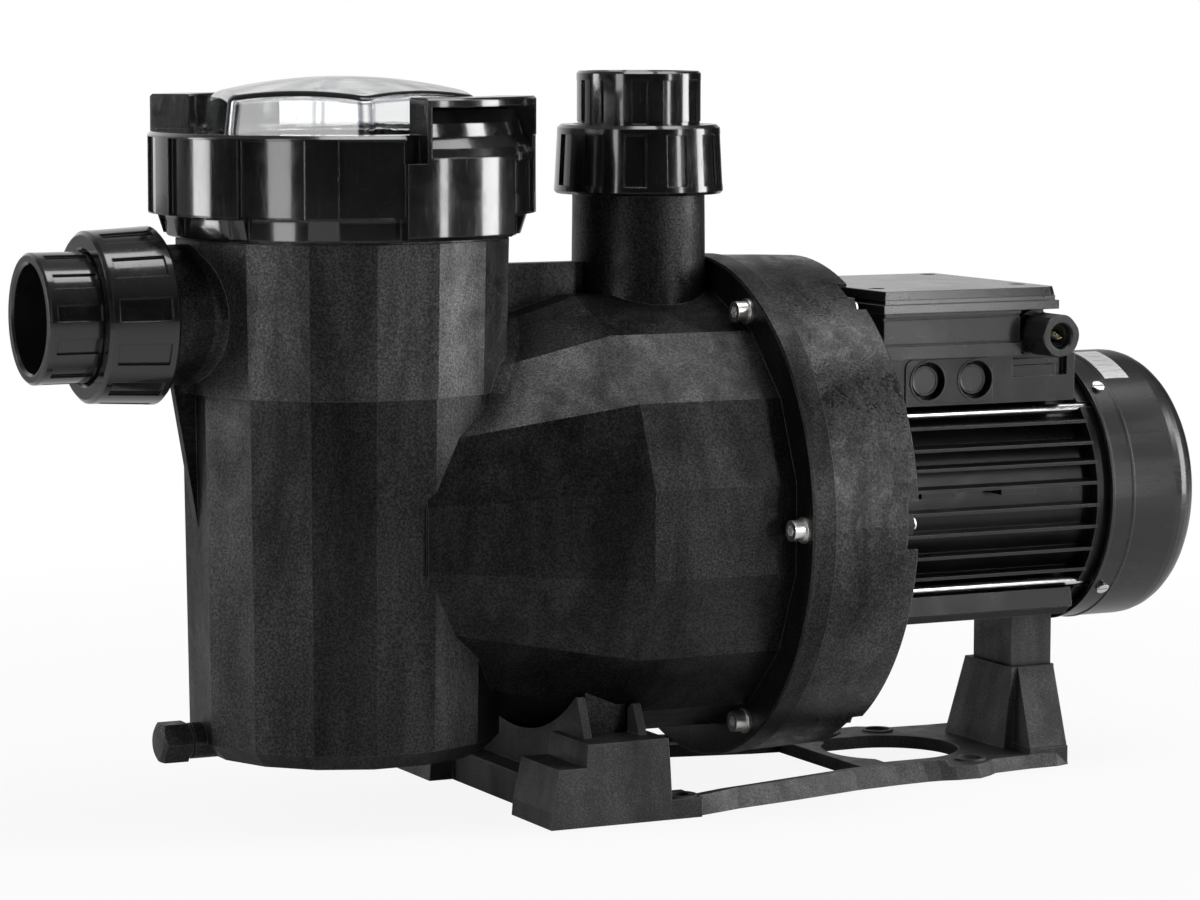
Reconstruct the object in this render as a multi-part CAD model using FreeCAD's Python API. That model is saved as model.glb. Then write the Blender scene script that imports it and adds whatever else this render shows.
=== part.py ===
"""Self-priming pool pump with a built-in strainer pot, a flange motor and a bolt-down base.

Millimetres. +Z is up. +X runs along the shaft from the strainer pot to the motor fan.
The origin is on the floor, midway between the two front fixing holes of the base.
Each function makes one piece; the table at the end names the node that each piece becomes.
"""
import FreeCAD
import Part
import math
import os

V = FreeCAD.Vector
UP = V(0, 0, 1)
DOWN = V(0, 0, -1)
ALONG = V(1, 0, 0)
BACK = V(-1, 0, 0)
ACROSS = V(0, 1, 0)
NEAR = V(0, -1, 0)

# ---------------------------------------------------------------- driving dimensions
POT_X = -138.0            # axis of the strainer pot
SHAFT_Z = 137.5           # height of the shaft above the floor
DISCHARGE_X = 18.6        # axis of the discharge union
SUCTION_Z = 240.0         # height of the suction union
SUCTION_NUT_X = -234.0    # inner end of the suction nut
DISCHARGE_NUT_Z = 292.4   # lower end of the discharge nut

FACETS = 16               # flat faces round the pot and round the casing
POT_FOOT_Z = 31.0         # underside of the pot
POT_STEP_Z = 203.0        # moulding split line round the pot
POT_FACET_TOP = 274.5     # top of the flat faces
POT_RIM_Z = 302.0         # rim that the lid sits on
POT_BORE = 70.0
MOUTH_BORE = 73.0
COLLAR_R = 77.6           # round threaded collar of the pot
POT_FLOOR_Z = 37.0

CASING_R = 108.9          # corner radius of the faceted casing
CASING_KINK_X = -26.0     # where the casing starts to taper towards the pot
CASING_SLOPE = 0.305      # radius lost per millimetre of taper
CHAMBER_R = 101.0
FLANGE_X0 = 48.8
FLANGE_X1 = 61.0          # joint face between pump body and seal housing
FLANGE_R = 124.2
DRUM_X1 = 107.3
BOLT_CIRCLE_R = 115.0
BOLT_COUNT = 6

NECK_R = 32.4             # outside of the suction and discharge necks
NECK_BORE = 24.0
SOCKET_R = 25.0           # solvent socket for 50 mm pipe
TAIL_R = 30.4
NUT_R = 41.4
NUT_LENGTH = 33.5
UNION_LENGTH = 59.4       # inner end of the nut to the open end of the socket

RING_R = 91.4             # lock ring over the lid
RING_SKIRT_R = 82.8
RING_Z0 = 275.7
RING_STEP_Z = 285.0
RING_TOP_Z = 324.3
NOTCH_Z = 311.6           # floor of the gap beside a handle
HANDLE_TOP_Z = 341.2
HANDLE_START = -88.0      # left end of the near handle, from +X towards +Y
HANDLE_SWEEP = 54.0       # angle that one handle covers
HANDLE_FACE_SWEEP = 34.5  # angle over which the handle runs down to the skirt
HANDLE_NOTCH = 6.0        # angle of the gap in the ring beside the handle
HANDLE_R = 92.6           # outside of a handle
HANDLE_INNER_R = 73.5
RING_RIB_AT = -58.0       # direction of one rib of the lock ring
DOME_TURN = -73.0         # direction of one flat of the dome
RING_LOBES = 12
DOME_APEX_Z = 350.0
DOME_CORNER_R = 69.2
DOME_SPHERE_R = 246.0
DOME_WALL = 3.2

DRAIN_Z = 39.2
DRAIN_FACE_X = -217.0     # face of the drain boss

MOTOR_R = 66.0            # tips of the cooling fins
FRAME_R = 56.5
FRAME_X0 = 99.0
FRAME_X1 = 245.5
ROD_R = 62.0              # tie rods, on the diagonals of the motor
FIN_HEIGHTS = (38.0, 27.6, 18.2, 8.0, -3.2, -14.2, -25.9, -37.0)
COWL_R = 68.8
COWL_X0 = 251.5
COWL_X1 = 308.0
COWL_ROUND = 18.0
COWL_SCREW_X = 258.2
COWL_SCREW_TOP = 51.0     # upper cowl screws, above level
COWL_SCREW_LOW = 43.5     # lower cowl screws, below level
SHAFT_R = 7.0

BOX_X0 = 123.5            # terminal box
BOX_X1 = 223.0
BOX_HALF_Y = 60.0
BOX_Z0 = 210.8
BOX_LID_Z = 233.4
BOX_TOP_Z = 244.5
LID_GROOVE_Z = 237.8
LID_GROOVE_H = 2.4
BOX_PANEL_Z = (218.2, 230.2)  # recessed side panel of the box
GLAND_X = 215.0
GLAND_Z = 221.0
PLUG_PLACES = (150.0, 177.3)  # knock-outs in the side of the pedestal
PLUG_Z = 199.4
KNOCKOUT_R = 9.5
PEDESTAL_Y = 56.0
KNOCKOUT_FLOOR_Y = 51.0

HOLE_FRONT_X = 0.0        # base fixing holes
HOLE_FRONT_Y = 82.0
HOLE_REAR_X = 183.0
HOLE_REAR_Y = 46.0
HOLE_R = 4.5
RAIL_Z = 9.5              # top of the outer lip of a rail
RAIL_LIP = 3.0
PLATFORM_Z = 6.5          # top of the rails inside the lip
TIE_X0 = 123.0            # cross bar between the rails
TIE_X1 = 140.0
EYE_R = 35.0              # round end of the opening behind the cross bar
BLOCK_Z = 39.0
POST_X0 = 224.3
POST_X1 = 248.4
POST_HALF_Y = 18.1
POST_Z0 = 47.0
POST_Z1 = 77.5
POST_SCREW_X = 235.0
PAD_SCREW_X = -31.5       # screws that hold the casing pads
PAD_SCREW_Y = 58.0
PAD_Z = 36.0              # underside of the casing pads

RUN = 0.02                # radial play of a turning or sliding piece

SHAFT_AT = V(0, 0, SHAFT_Z)


# ---------------------------------------------------------------- geometry helpers
def polar(angle_deg, radius):
    """x and y of a point at an angle and radius."""
    angle = math.radians(angle_deg)
    return radius * math.cos(angle), radius * math.sin(angle)


def block(x0, x1, y0, y1, z0, z1):
    return Part.makeBox(x1 - x0, y1 - y0, z1 - z0, V(x0, y0, z0))


def rod(radius, start, direction, length):
    return Part.makeCylinder(radius, length, start, direction)


def tube(outer, inner, start, direction, length):
    return rod(outer, start, direction, length).cut(rod(inner, start, direction, length))


def plate(points, thickness):
    """A flat outline, pushed along the thickness vector."""
    wire = Part.makePolygon(points + [points[0]])
    return Part.Face(wire).extrude(thickness)


def mirror_y(shape):
    return shape.mirror(V(0, 0, 0), ACROSS)


def both_sides(shape):
    return [shape, mirror_y(shape)]


def fuse(shapes):
    solid = shapes[0].multiFuse(shapes[1:]) if len(shapes) > 1 else shapes[0]
    return solid.removeSplitter()


def group(shapes):
    """Separate solids that share one node."""
    return Part.makeCompound(shapes)


def side_of(axis):
    """A direction square to the axis, where angles start."""
    return NEAR if abs(axis.x) > 0.5 else ALONG


def profile_face(points, centre, axis, angle):
    """Face from (distance along axis, radius) points, standing at an angle round the axis."""
    side = FreeCAD.Rotation(axis, angle).multVec(side_of(axis))
    corners = [centre + axis * along + side * radius for along, radius in points]
    return Part.Face(Part.makePolygon(corners + [corners[0]]))


def turned(points, centre, axis):
    """Solid of revolution from (distance along axis, radius) points."""
    return profile_face(points, centre, axis, 0).revolve(centre, axis, 360)


def sector(points, centre, axis, start, sweep):
    """Part of a solid of revolution, from one angle through a sweep."""
    return profile_face(points, centre, axis, start).revolve(centre, axis, sweep)


def on_shaft(points):
    return turned(points, SHAFT_AT, ALONG)


def on_pot(points):
    return turned(points, V(POT_X, 0, 0), UP)


def spun(shape, centre, axis, angle):
    copy = shape.copy()
    copy.rotate(centre, axis, angle)
    return copy


def around(shape, centre, axis, count, first=0.0):
    return [spun(shape, centre, axis, first + 360.0 * n / count) for n in range(count)]


def torus(major, minor, centre, axis):
    return Part.makeTorus(major, minor, centre, axis)


def hexagon(across_flats, start, direction, length, turn=0.0):
    """Hexagonal bar, for nuts and bolt heads."""
    side = side_of(direction)
    corner = across_flats / math.sqrt(3.0)
    points = []
    for n in range(6):
        arm = FreeCAD.Rotation(direction, 60.0 * n + turn).multVec(side)
        points.append(start + arm * corner)
    return plate(points, direction * length)


def facet_wire_z(radius, z):
    """Outline of the sixteen-sided pot at one height."""
    points = []
    for n in range(FACETS):
        x, y = polar(360.0 / FACETS * (n + 0.5), radius)
        points.append(V(POT_X + x, y, z))
    return Part.makePolygon(points + [points[0]])


def facet_wire_x(radius, x):
    """Outline of the sixteen-sided casing at one place along the shaft."""
    points = []
    for n in range(FACETS):
        y, z = polar(360.0 / FACETS * (n + 0.5), radius)
        points.append(V(x, y, SHAFT_Z + z))
    return Part.makePolygon(points + [points[0]])


def loft(wires):
    return Part.makeLoft(wires, True, True)


def bolt_places(radius=BOLT_CIRCLE_R, x=0.0):
    """Centres of the six casing screws, starting at the near side."""
    places = []
    for n in range(BOLT_COUNT):
        y, z = polar(180.0 + 60.0 * n, radius)
        places.append(V(x, y, SHAFT_Z + z))
    return places


# ---------------------------------------------------------------- pump body
def pot_outside():
    low = loft([facet_wire_z(67.0, POT_FOOT_Z), facet_wire_z(74.6, 38.5)])
    lower = loft([facet_wire_z(74.6, 38.5), facet_wire_z(77.0, POT_STEP_Z)])
    upper = loft([facet_wire_z(78.1, POT_STEP_Z), facet_wire_z(79.6, POT_FACET_TOP)])
    collar = on_pot([(POT_FACET_TOP, 0), (POT_FACET_TOP, COLLAR_R), (POT_RIM_Z, COLLAR_R), (POT_RIM_Z, 0)])
    threads = [ridge_ring(V(POT_X, 0, z), UP, COLLAR_R, 1.4, 2.4) for z in (281.0, 287.0, 293.0)]
    return [low, lower, upper, collar] + threads


def ridge_ring(centre, axis, radius, height, width, inward=False):
    """One thread ridge, drawn as a closed ring, standing out of or into a wall."""
    root = radius + 0.5 if inward else radius - 0.5
    crest = radius - height if inward else radius + height
    half = width / 2.0
    return turned([(-half, root), (half, root), (half * 0.4, crest), (-half * 0.4, crest)], centre, axis)


def casing_radius(x):
    return CASING_R - CASING_SLOPE * (CASING_KINK_X - x)


def casing_outside():
    taper_end = POT_X + 10.0
    cone = loft([facet_wire_x(casing_radius(taper_end), taper_end), facet_wire_x(CASING_R, CASING_KINK_X)])
    drum = loft([facet_wire_x(CASING_R, CASING_KINK_X), facet_wire_x(CASING_R, FLANGE_X0)])
    flange = on_shaft([(FLANGE_X0, 0), (FLANGE_X0, FLANGE_R - 1.0), (FLANGE_X0 + 1.0, FLANGE_R),
                       (FLANGE_X1, FLANGE_R), (FLANGE_X1, 0)])
    return [cone, drum, flange]


def union_neck(start, axis, reach):
    """Pipe stub with the male thread of a union; start is where the nut begins."""
    pipe = turned([(-reach, 0), (-reach, NECK_R + 0.6), (-2.0, NECK_R), (0, NECK_R), (0, 0)], start, axis)
    thread = turned([(-0.5, 0), (-0.5, 34.4), (1.0, 35.4), (20.0, 35.4), (20.0, 0)], start, axis)
    ridges = [ridge_ring(start + axis * s, axis, 35.4, 1.0, 2.6) for s in (4.0, 10.0, 16.0)]
    return [pipe, thread] + ridges


def body_webs():
    half = 4.0
    top = plate([V(POT_X + 70, -half, 200), V(POT_X + 70, -half, 259.7), V(-12, -half, 259.7),
                 V(-12, -half, 225)],
                V(0, 2 * half, 0))
    gusset = plate([V(POT_X - 70, -2.5, 138.0), V(POT_X - 74.4, -2.5, 138.0), V(POT_X - 86.2, -2.5, 206.5),
                    V(POT_X - 86.2, -2.5, 222.0), V(POT_X - 70, -2.5, 222.0)], V(0, 5.0, 0))
    return [top, gusset]


def body_feet():
    """Pads under the casing that stand between the cradle walls."""
    pad = block(-42.0, -21.0, -66.0, -50.0, PAD_Z, 90.0)
    trim = on_shaft([(-50, 0), (-50, 100.0), (-18, 100.0), (-18, 0)])
    return both_sides(pad.cut(trim))


def drain_boss():
    return rod(8.5, V(DRAIN_FACE_X, 0, DRAIN_Z), ALONG, 16.0)


def chamber():
    """Hollow of the casing, up to the wall that the pot shares with it."""
    front = POT_X + 45.0
    wall = 6.5
    cone = on_shaft([(front, 0), (front, casing_radius(front) * 0.98 - wall), (CASING_KINK_X, CHAMBER_R),
                     (FLANGE_X1, CHAMBER_R), (FLANGE_X1, 0)])
    pot_wall = rod(POT_BORE + 6.5, V(POT_X, 0, POT_FOOT_Z - 1), UP, POT_RIM_Z - POT_FOOT_Z)
    return cone.cut(pot_wall)


def pump_body():
    suction_at = V(SUCTION_NUT_X, 0, SUCTION_Z)
    discharge_at = V(DISCHARGE_X, 0, DISCHARGE_NUT_Z)
    outside = pot_outside() + casing_outside() + body_webs() + body_feet() + [drain_boss()]
    outside += union_neck(suction_at, BACK, 34.0)
    outside += union_neck(discharge_at, UP, 62.0)
    body = fuse(outside)
    hollows = [
        on_pot([(POT_FLOOR_Z, 0), (POT_FLOOR_Z, POT_BORE), (283.0, POT_BORE), (283.0, MOUTH_BORE),
                (POT_RIM_Z, MOUTH_BORE), (POT_RIM_Z, 0)]),
        chamber(),
        rod(NECK_BORE, suction_at + BACK * 20.0, ALONG, 60.0),
        rod(NECK_BORE, discharge_at + UP * 20.0, DOWN, 90.0),
        rod(30.0, V(POT_X + 60.0, 0, SHAFT_Z), ALONG, 30.0),
        rod(6.0 + RUN, V(DRAIN_FACE_X, 0, DRAIN_Z), ALONG, 16.0),
        tube(107.8, 104.2, V(FLANGE_X1 - 3.4, 0, SHAFT_Z), ALONG, 3.4),
    ]
    hollows += [rod(3.3, place, ALONG, 20.0) for place in bolt_places(x=FLANGE_X0 - 2.0)]
    hollows += [rod(4.02, V(PAD_SCREW_X, y, PAD_Z), UP, 15.0) for y in (-PAD_SCREW_Y, PAD_SCREW_Y)]
    return body.cut(group(hollows))


def drain_plug():
    head = hexagon(18.0, V(DRAIN_FACE_X - 16.0, 0, DRAIN_Z), ALONG, 13.5, 0.0)
    dome = Part.makeSphere(17.0, V(DRAIN_FACE_X - 0.5, 0, DRAIN_Z))
    head = head.common(dome)
    neck = rod(7.6, V(DRAIN_FACE_X - 3.0, 0, DRAIN_Z), ALONG, 0.9)
    shank = rod(6.0, V(DRAIN_FACE_X - 3.0, 0, DRAIN_Z), ALONG, 14.0)
    return fuse([head, neck, shank])


def drain_oring():
    return torus(7.1, 1.0, V(DRAIN_FACE_X - 1.02, 0, DRAIN_Z), ALONG)


# ---------------------------------------------------------------- strainer and lid
def strainer_basket():
    """Tapered perforated cup with a rim, a window for the inlet and a bail to lift it by."""
    rim = 72.4
    cup = on_pot([(44.0, 0), (44.0, 58.0), (280.5, 65.5), (283.1, 65.5), (283.1, rim), (286.0, rim),
                  (286.0, 63.4), (280.0, 63.4), (46.2, 55.9), (46.2, 0)])
    slot = block(POT_X + 40.0, POT_X + 80.0, -2.4, 2.4, 0, 44.0)
    cutters = []
    for row in range(4):
        lifted = slot.copy()
        lifted.translate(V(0, 0, 52.0 + 50.0 * row))
        cutters += around(lifted, V(POT_X, 0, 0), UP, 20, 9.0 * (row % 2))
    cutters.append(rod(27.0, V(POT_X - 80.0, 0, SUCTION_Z), ALONG, 40.0))
    for radius, count in ((42.0, 16), (26.0, 10), (10.0, 4)):
        hole = rod(3.4, V(POT_X + radius, 0, 40.0), UP, 10.0)
        cutters += around(hole, V(POT_X, 0, 0), UP, count)
    cup = cup.cut(group(cutters))
    bail = torus(72.0, 2.2, V(POT_X, 0, 240.0), ACROSS)
    keep = block(POT_X - 80, POT_X + 80, -5, 5, 275.0, 330.0)
    lugs = [block(POT_X + x0, POT_X + x0 + 6.5, -4.0, 4.0, 272.0, 284.0) for x0 in (-64.5, 58.0)]
    return fuse([cup, bail.common(keep)] + lugs)


def hexagon_wire(corner, z, turn):
    points = []
    for n in range(6):
        x, y = polar(60.0 * n + 30.0 + turn, corner)
        points.append(V(POT_X + x, y, z))
    return Part.makePolygon(points + [points[0]])


def dome_solid(shrink, z0):
    """Six-sided dome: a tapered prism under a shallow sphere, with softened edges."""
    turn = DOME_TURN
    low = hexagon_wire(DOME_CORNER_R + 1.4 - shrink, z0, turn)
    high = hexagon_wire(DOME_CORNER_R - 4.0 - shrink, DOME_APEX_Z + 4.0, turn)
    prism = loft([low, high])
    cap = Part.makeSphere(DOME_SPHERE_R, V(POT_X, 0, DOME_APEX_Z - shrink - DOME_SPHERE_R))
    dome = prism.common(cap)
    uprights = [edge for edge in dome.Edges if edge.BoundBox.ZLength > 10.0]
    dome = dome.makeFillet(9.0 - shrink, uprights)
    top = max(dome.Faces, key=lambda face: face.CenterOfMass.z)
    return dome.makeFillet(4.6 - shrink * 0.9, top.Edges)


def lid_dome():
    flange = on_pot([(290.0, 63.0), (290.0, 72.6), (291.2, 72.9), (292.4, 72.9), (292.4, 68.3), (297.4, 68.3),
                     (297.4, 72.9), (POT_RIM_Z, 72.9), (POT_RIM_Z, 77.6), (317.9, 77.6), (317.9, 69.4),
                     (322.0, 69.4), (322.0, 63.0)])
    shell = dome_solid(0.0, 317.0).cut(dome_solid(DOME_WALL, 310.0))
    bore = rod(62.9, V(POT_X, 0, 280.0), UP, 42.0)
    return fuse([flange, shell.cut(bore)])


def lid_oring():
    return torus(70.68, 2.22, V(POT_X, 0, 294.9), UP)


def ring_handle():
    """Raised hand hold: a wall down to the skirt, and a shorter wing with a sloping underside."""
    outer = HANDLE_R
    inner = HANDLE_INNER_R
    centre = V(POT_X, 0, 0)
    face = sector([(RING_Z0 + 1.0, RING_SKIRT_R - 2.5), (RING_Z0 + 1.0, outer - 1.6),
                   (RING_Z0 + 2.5, outer), (RING_TOP_Z, outer), (RING_TOP_Z, RING_SKIRT_R - 2.5)],
                  centre, UP, HANDLE_START, HANDLE_FACE_SWEEP)
    low_face = sector([(RING_Z0 + 1.0, RING_SKIRT_R - 2.5), (RING_Z0 + 1.0, outer - 1.6),
                       (RING_Z0 + 2.5, outer), (NOTCH_Z, outer), (NOTCH_Z, RING_SKIRT_R - 2.5)],
                      centre, UP, HANDLE_START - HANDLE_NOTCH, HANDLE_NOTCH)
    wing = sector([(NOTCH_Z, outer - 5.0), (NOTCH_Z, outer), (HANDLE_TOP_Z - 1.2, outer),
                   (HANDLE_TOP_Z, outer - 1.2), (HANDLE_TOP_Z, inner + 1.0), (HANDLE_TOP_Z - 1.0, inner),
                   (RING_TOP_Z - 3.0, inner), (RING_TOP_Z - 3.0, outer - 5.0)],
                  centre, UP, HANDLE_START, HANDLE_SWEEP)
    return fuse([face, low_face, wing])


def handle_underside():
    """What is cut away below the free part of a handle: a staircase of thin sectors, like a ramp."""
    steps = 10
    free = HANDLE_SWEEP - HANDLE_FACE_SWEEP
    cutters = []
    for n in range(steps):
        top = NOTCH_Z + 1.0 + (RING_TOP_Z - 1.6 - NOTCH_Z) * (n + 0.5) / steps
        start = HANDLE_START + HANDLE_FACE_SWEEP + free * n / steps
        cutters.append(sector([(NOTCH_Z - 3.0, RING_R - 0.01), (NOTCH_Z - 3.0, RING_R + 4.0),
                               (top, RING_R + 4.0),
                               (top, RING_R - 0.01)], V(POT_X, 0, 0), UP, start, free / steps + 0.02))
    return cutters


def handle_scoop():
    """Finger room under the rim of a handle."""
    outer = HANDLE_R
    inner = HANDLE_INNER_R
    end_wall = 1.5
    return sector([(HANDLE_TOP_Z - 4.2, inner + 4.0), (HANDLE_TOP_Z - 4.2, RING_R + 6.0),
                   (NOTCH_Z + 1.6, RING_R + 6.0),
                   (NOTCH_Z + 2.4, outer - 0.6), (NOTCH_Z + 6.5, outer - 2.6),
                   (RING_TOP_Z - 1.0, outer - 6.5),
                   (RING_TOP_Z + 5.0, outer - 8.0), (HANDLE_TOP_Z - 6.0, inner + 7.0)],
                  V(POT_X, 0, 0), UP, HANDLE_START + end_wall, HANDLE_SWEEP - 2 * end_wall)


def lock_ring():
    """Threaded ring with twelve panels, a rib under each panel gap and two hand holds."""
    centre = V(POT_X, 0, 0)
    ring = on_pot([(RING_Z0, 79.9), (RING_Z0, RING_SKIRT_R - 0.6), (RING_Z0 + 0.6, RING_SKIRT_R),
                   (RING_STEP_Z, RING_SKIRT_R), (RING_STEP_Z + 1.5, RING_R), (RING_TOP_Z - 1.6, RING_R),
                   (RING_TOP_Z, RING_R - 1.6), (RING_TOP_Z, 71.4), (RING_TOP_Z - 1.0, 70.4), (318.1, 70.4),
                   (318.1, 79.9)])
    panel = sector([(RING_STEP_Z + 2.0, RING_R - 2.4), (RING_STEP_Z + 0.8, RING_R + 3.0),
                    (RING_TOP_Z - 2.2, RING_R + 3.0), (RING_TOP_Z - 2.2, RING_R - 2.4)],
                   centre, UP, RING_RIB_AT + 4.3, 20.2)
    skirt_rib = sector([(RING_Z0 + 0.8, RING_SKIRT_R - 1.0), (RING_Z0 + 0.8, RING_SKIRT_R + 1.4),
                        (RING_STEP_Z + 1.0, RING_SKIRT_R + 4.4), (RING_STEP_Z + 1.0, RING_SKIRT_R - 1.0)],
                       centre, UP, RING_RIB_AT - 5.0, 9.3)
    notch = sector([(NOTCH_Z, RING_R - 7.5), (NOTCH_Z, RING_R + 4.0), (RING_TOP_Z + 1.0, RING_R + 4.0),
                    (RING_TOP_Z + 1.0, RING_R - 7.5)],
                   centre, UP, HANDLE_START - HANDLE_NOTCH, HANDLE_NOTCH)
    ring = ring.cut(group(around(panel, centre, UP, RING_LOBES)))
    ring = fuse([ring] + around(skirt_rib, centre, UP, RING_LOBES) + around(ring_handle(), centre, UP, 2))
    cutters = around(notch, centre, UP, 2) + around(handle_scoop(), centre, UP, 2)
    for step in handle_underside():
        cutters += around(step, centre, UP, 2)
    ring = ring.cut(group(cutters))
    threads = [ridge_ring(V(POT_X, 0, z), UP, 79.9, 0.7, 2.4, inward=True) for z in (284.0, 290.0, 296.0)]
    return fuse([ring] + threads)


# ---------------------------------------------------------------- unions
def union_tail(start, axis, turn):
    """Socket that the pipe is glued into; its shoulder is clamped by the nut."""
    top = UNION_LENGTH
    body = turned([(20.5, 22.0), (20.5, 36.0), (26.8, 36.0), (26.8, TAIL_R - 0.4), (35.0, TAIL_R - 0.4),
                   (35.0, TAIL_R), (top - 1.2, TAIL_R), (top, TAIL_R - 1.2), (top, SOCKET_R + 1.2),
                   (top - 1.2, SOCKET_R), (top - 31.0, SOCKET_R), (top - 31.0, 22.0)], start, axis)
    panel = sector([(26.0, TAIL_R - 1.1), (26.0, TAIL_R + 2), (top - 4.4, TAIL_R + 2),
                    (top - 4.4, TAIL_R - 1.1)],
                   start, axis, turn - 7.0, 14.0)
    clear = turned([(25.0, TAIL_R - 2), (25.0, TAIL_R + 4), (34.2, TAIL_R + 4), (34.2, TAIL_R - 2)], start,
                   axis)
    return body.cut(group([cutter.cut(clear) for cutter in around(panel, start, axis, 12)]))


def union_nut(start, axis, turn):
    """Hand nut with twelve shallow panels round it."""
    body = turned([(0, 37.6), (0, NUT_R - 1.4), (1.4, NUT_R), (NUT_LENGTH - 1.6, NUT_R - 1.6),
                   (NUT_LENGTH, NUT_R - 3.4), (NUT_LENGTH, 32.2), (NUT_LENGTH - 1.2, 31.0), (27.0, 31.0),
                   (27.0, 37.6)], start, axis)
    panel = sector([(4.2, NUT_R - 1.5), (4.2, NUT_R + 2.0), (NUT_LENGTH - 4.6, NUT_R + 2.0),
                    (NUT_LENGTH - 4.6, NUT_R - 2.7)], start, axis, turn - 7.5, 15.0)
    ridges = [ridge_ring(start + axis * s, axis, 37.6, 1.0, 2.6, inward=True) for s in (7.0, 13.0, 19.0)]
    body = body.cut(group(around(panel, start, axis, 12)))
    return fuse([body] + ridges)


def union_oring(start, axis):
    return torus(29.5, 1.75, start + axis * 18.72, axis)


def cut_oring_groove(body, start, axis):
    groove = turned([(16.95, 27.7), (16.95, 31.3), (21.0, 31.3), (21.0, 27.7)], start, axis)
    return body.cut(groove)


SUCTION_AT = V(SUCTION_NUT_X, 0, SUCTION_Z)
DISCHARGE_AT = V(DISCHARGE_X, 0, DISCHARGE_NUT_Z)


def finished_body():
    body = cut_oring_groove(pump_body(), SUCTION_AT, BACK)
    return cut_oring_groove(body, DISCHARGE_AT, UP)


# ---------------------------------------------------------------- seal housing and wet end
def seal_housing():
    """Round cover behind the casing: front disc, outer drum, motor spigot and ribs between."""
    skin = 119.6
    shell = on_shaft([(FLANGE_X1, 19.2), (FLANGE_X1, FLANGE_R - 0.7), (FLANGE_X1 + 24.0, FLANGE_R - 1.2),
                      (DRUM_X1 - 0.8, FLANGE_R - 1.9), (DRUM_X1, FLANGE_R - 2.7), (DRUM_X1, skin),
                      (71.0, skin), (71.0, 84.0), (84.0, 84.0), (84.0, 70.0), (71.0, 70.0), (71.0, 10.0),
                      (67.0, 10.0), (67.0, 19.2)])
    rib = block(71.0, 96.0, -1.8, 1.8, SHAFT_Z + 83.0, SHAFT_Z + skin + 1.0)
    ribs = around(rib, SHAFT_AT, ALONG, 12, 15.0)
    bosses = [rod(7.6, place, ALONG, 30.8) for place in bolt_places(x=70.0)]
    keep = on_shaft([(60, 0), (60, FLANGE_R - 1.9), (DRUM_X1, FLANGE_R - 2.7), (DRUM_X1, 0)])
    housing = fuse([shell] + ribs + [boss.common(keep) for boss in bosses])
    cutters = [rod(3.3, place, ALONG, 60.0) for place in bolt_places(x=60.0)]
    for n in range(BOLT_COUNT):
        pocket = block(100.8, DRUM_X1 + 1, -FLANGE_R - 4, -BOLT_CIRCLE_R + 8.5, SHAFT_Z - 11.5,
                       SHAFT_Z + 11.5)
        cutters.append(spun(pocket, SHAFT_AT, ALONG, 60.0 * n))
    screw = rod(3.0, V(72.0, 0, SHAFT_Z + 77.0), ALONG, 14.0)
    cutters += around(screw, SHAFT_AT, ALONG, 4, 45.0)
    return housing.cut(group(cutters))


def body_oring():
    return torus(106.0, 1.69, V(FLANGE_X1 - 1.7, 0, SHAFT_Z), ALONG)


def flange_screws():
    """Long socket-head screws through flange and housing."""
    screws = []
    for place in bolt_places(x=FLANGE_X0):
        head = rod(5.0, place + BACK * 7.6, ALONG, 6.0)
        socket = hexagon(5.0, place + BACK * 7.6, ALONG, 3.2)
        shank = rod(3.0, place + BACK * 1.7, ALONG, 61.0)
        screws.append(fuse([head.cut(socket), shank]))
    return group(screws)


def flange_washers():
    return group([tube(6.2, 3.2, place + BACK * 1.6, ALONG, 1.6) for place in bolt_places(x=FLANGE_X0)])


def flange_nuts():
    nuts = []
    for place in bolt_places(x=100.8):
        nuts.append(hexagon(10.0, place, ALONG, 5.0).cut(rod(3.05, place, ALONG, 5.0)))
    return group(nuts)


def diffuser():
    """Nose sleeve in the pot port, then a bell and a drum with guide vanes round the impeller."""
    shell = on_shaft([(-66.0, 26.0), (-66.0, 29.6), (-6.0, 29.6), (-4.0, 78.0), (52.0, 80.0), (52.0, 77.0),
                      (-1.0, 75.0), (-1.0, 27.6), (-4.0, 26.0)])
    vane = block(6.0, 44.0, -1.5, 1.5, SHAFT_Z + 64.0, SHAFT_Z + 77.0)
    vane.rotate(V(0, 0, SHAFT_Z + 70.0), ALONG, 38.0)
    vanes = around(vane, SHAFT_AT, ALONG, 9)
    hoop = on_shaft([(44.0, 63.0), (44.0, 79.0), (46.0, 79.0), (46.0, 63.0)])
    return fuse([shell, hoop] + vanes)


def impeller():
    """Closed impeller: eye ring, front shroud, back plate, hub and curved vanes."""
    front = on_shaft([(2.0, 23.5), (2.0, 27.2), (12.0, 28.5), (16.0, 60.0), (18.2, 60.0), (18.2, 27.0),
                      (14.0, 23.5)])
    back = on_shaft([(36.0, SHAFT_R), (36.0, 60.0), (39.0, 60.0), (39.0, 12.0), (52.0, 12.0),
                     (52.0, SHAFT_R)])
    vanes = []
    for n in range(7):
        outer = Part.makeCylinder(52.0, 18.8, V(17.7, 0, SHAFT_Z), ALONG)
        inner = Part.makeCylinder(49.6, 18.8, V(17.7, 0, SHAFT_Z), ALONG)
        blade = outer.cut(inner)
        blade.translate(V(0, 30.0, 24.0))
        vanes.append(spun(blade, SHAFT_AT, ALONG, 360.0 / 7 * n))
    keep = on_shaft([(17.0, 20.0), (17.0, 59.6), (37.0, 59.6), (37.0, 20.0)])
    side = block(0.0, 60.0, -70.0, 70.0, SHAFT_Z, SHAFT_Z + 70.0)
    clipped = []
    for n, blade in enumerate(vanes):
        half = spun(side, SHAFT_AT, ALONG, 360.0 / 7 * n)
        clipped.append(blade.common(keep).common(half))
    return fuse([front, back] + clipped)


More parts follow.
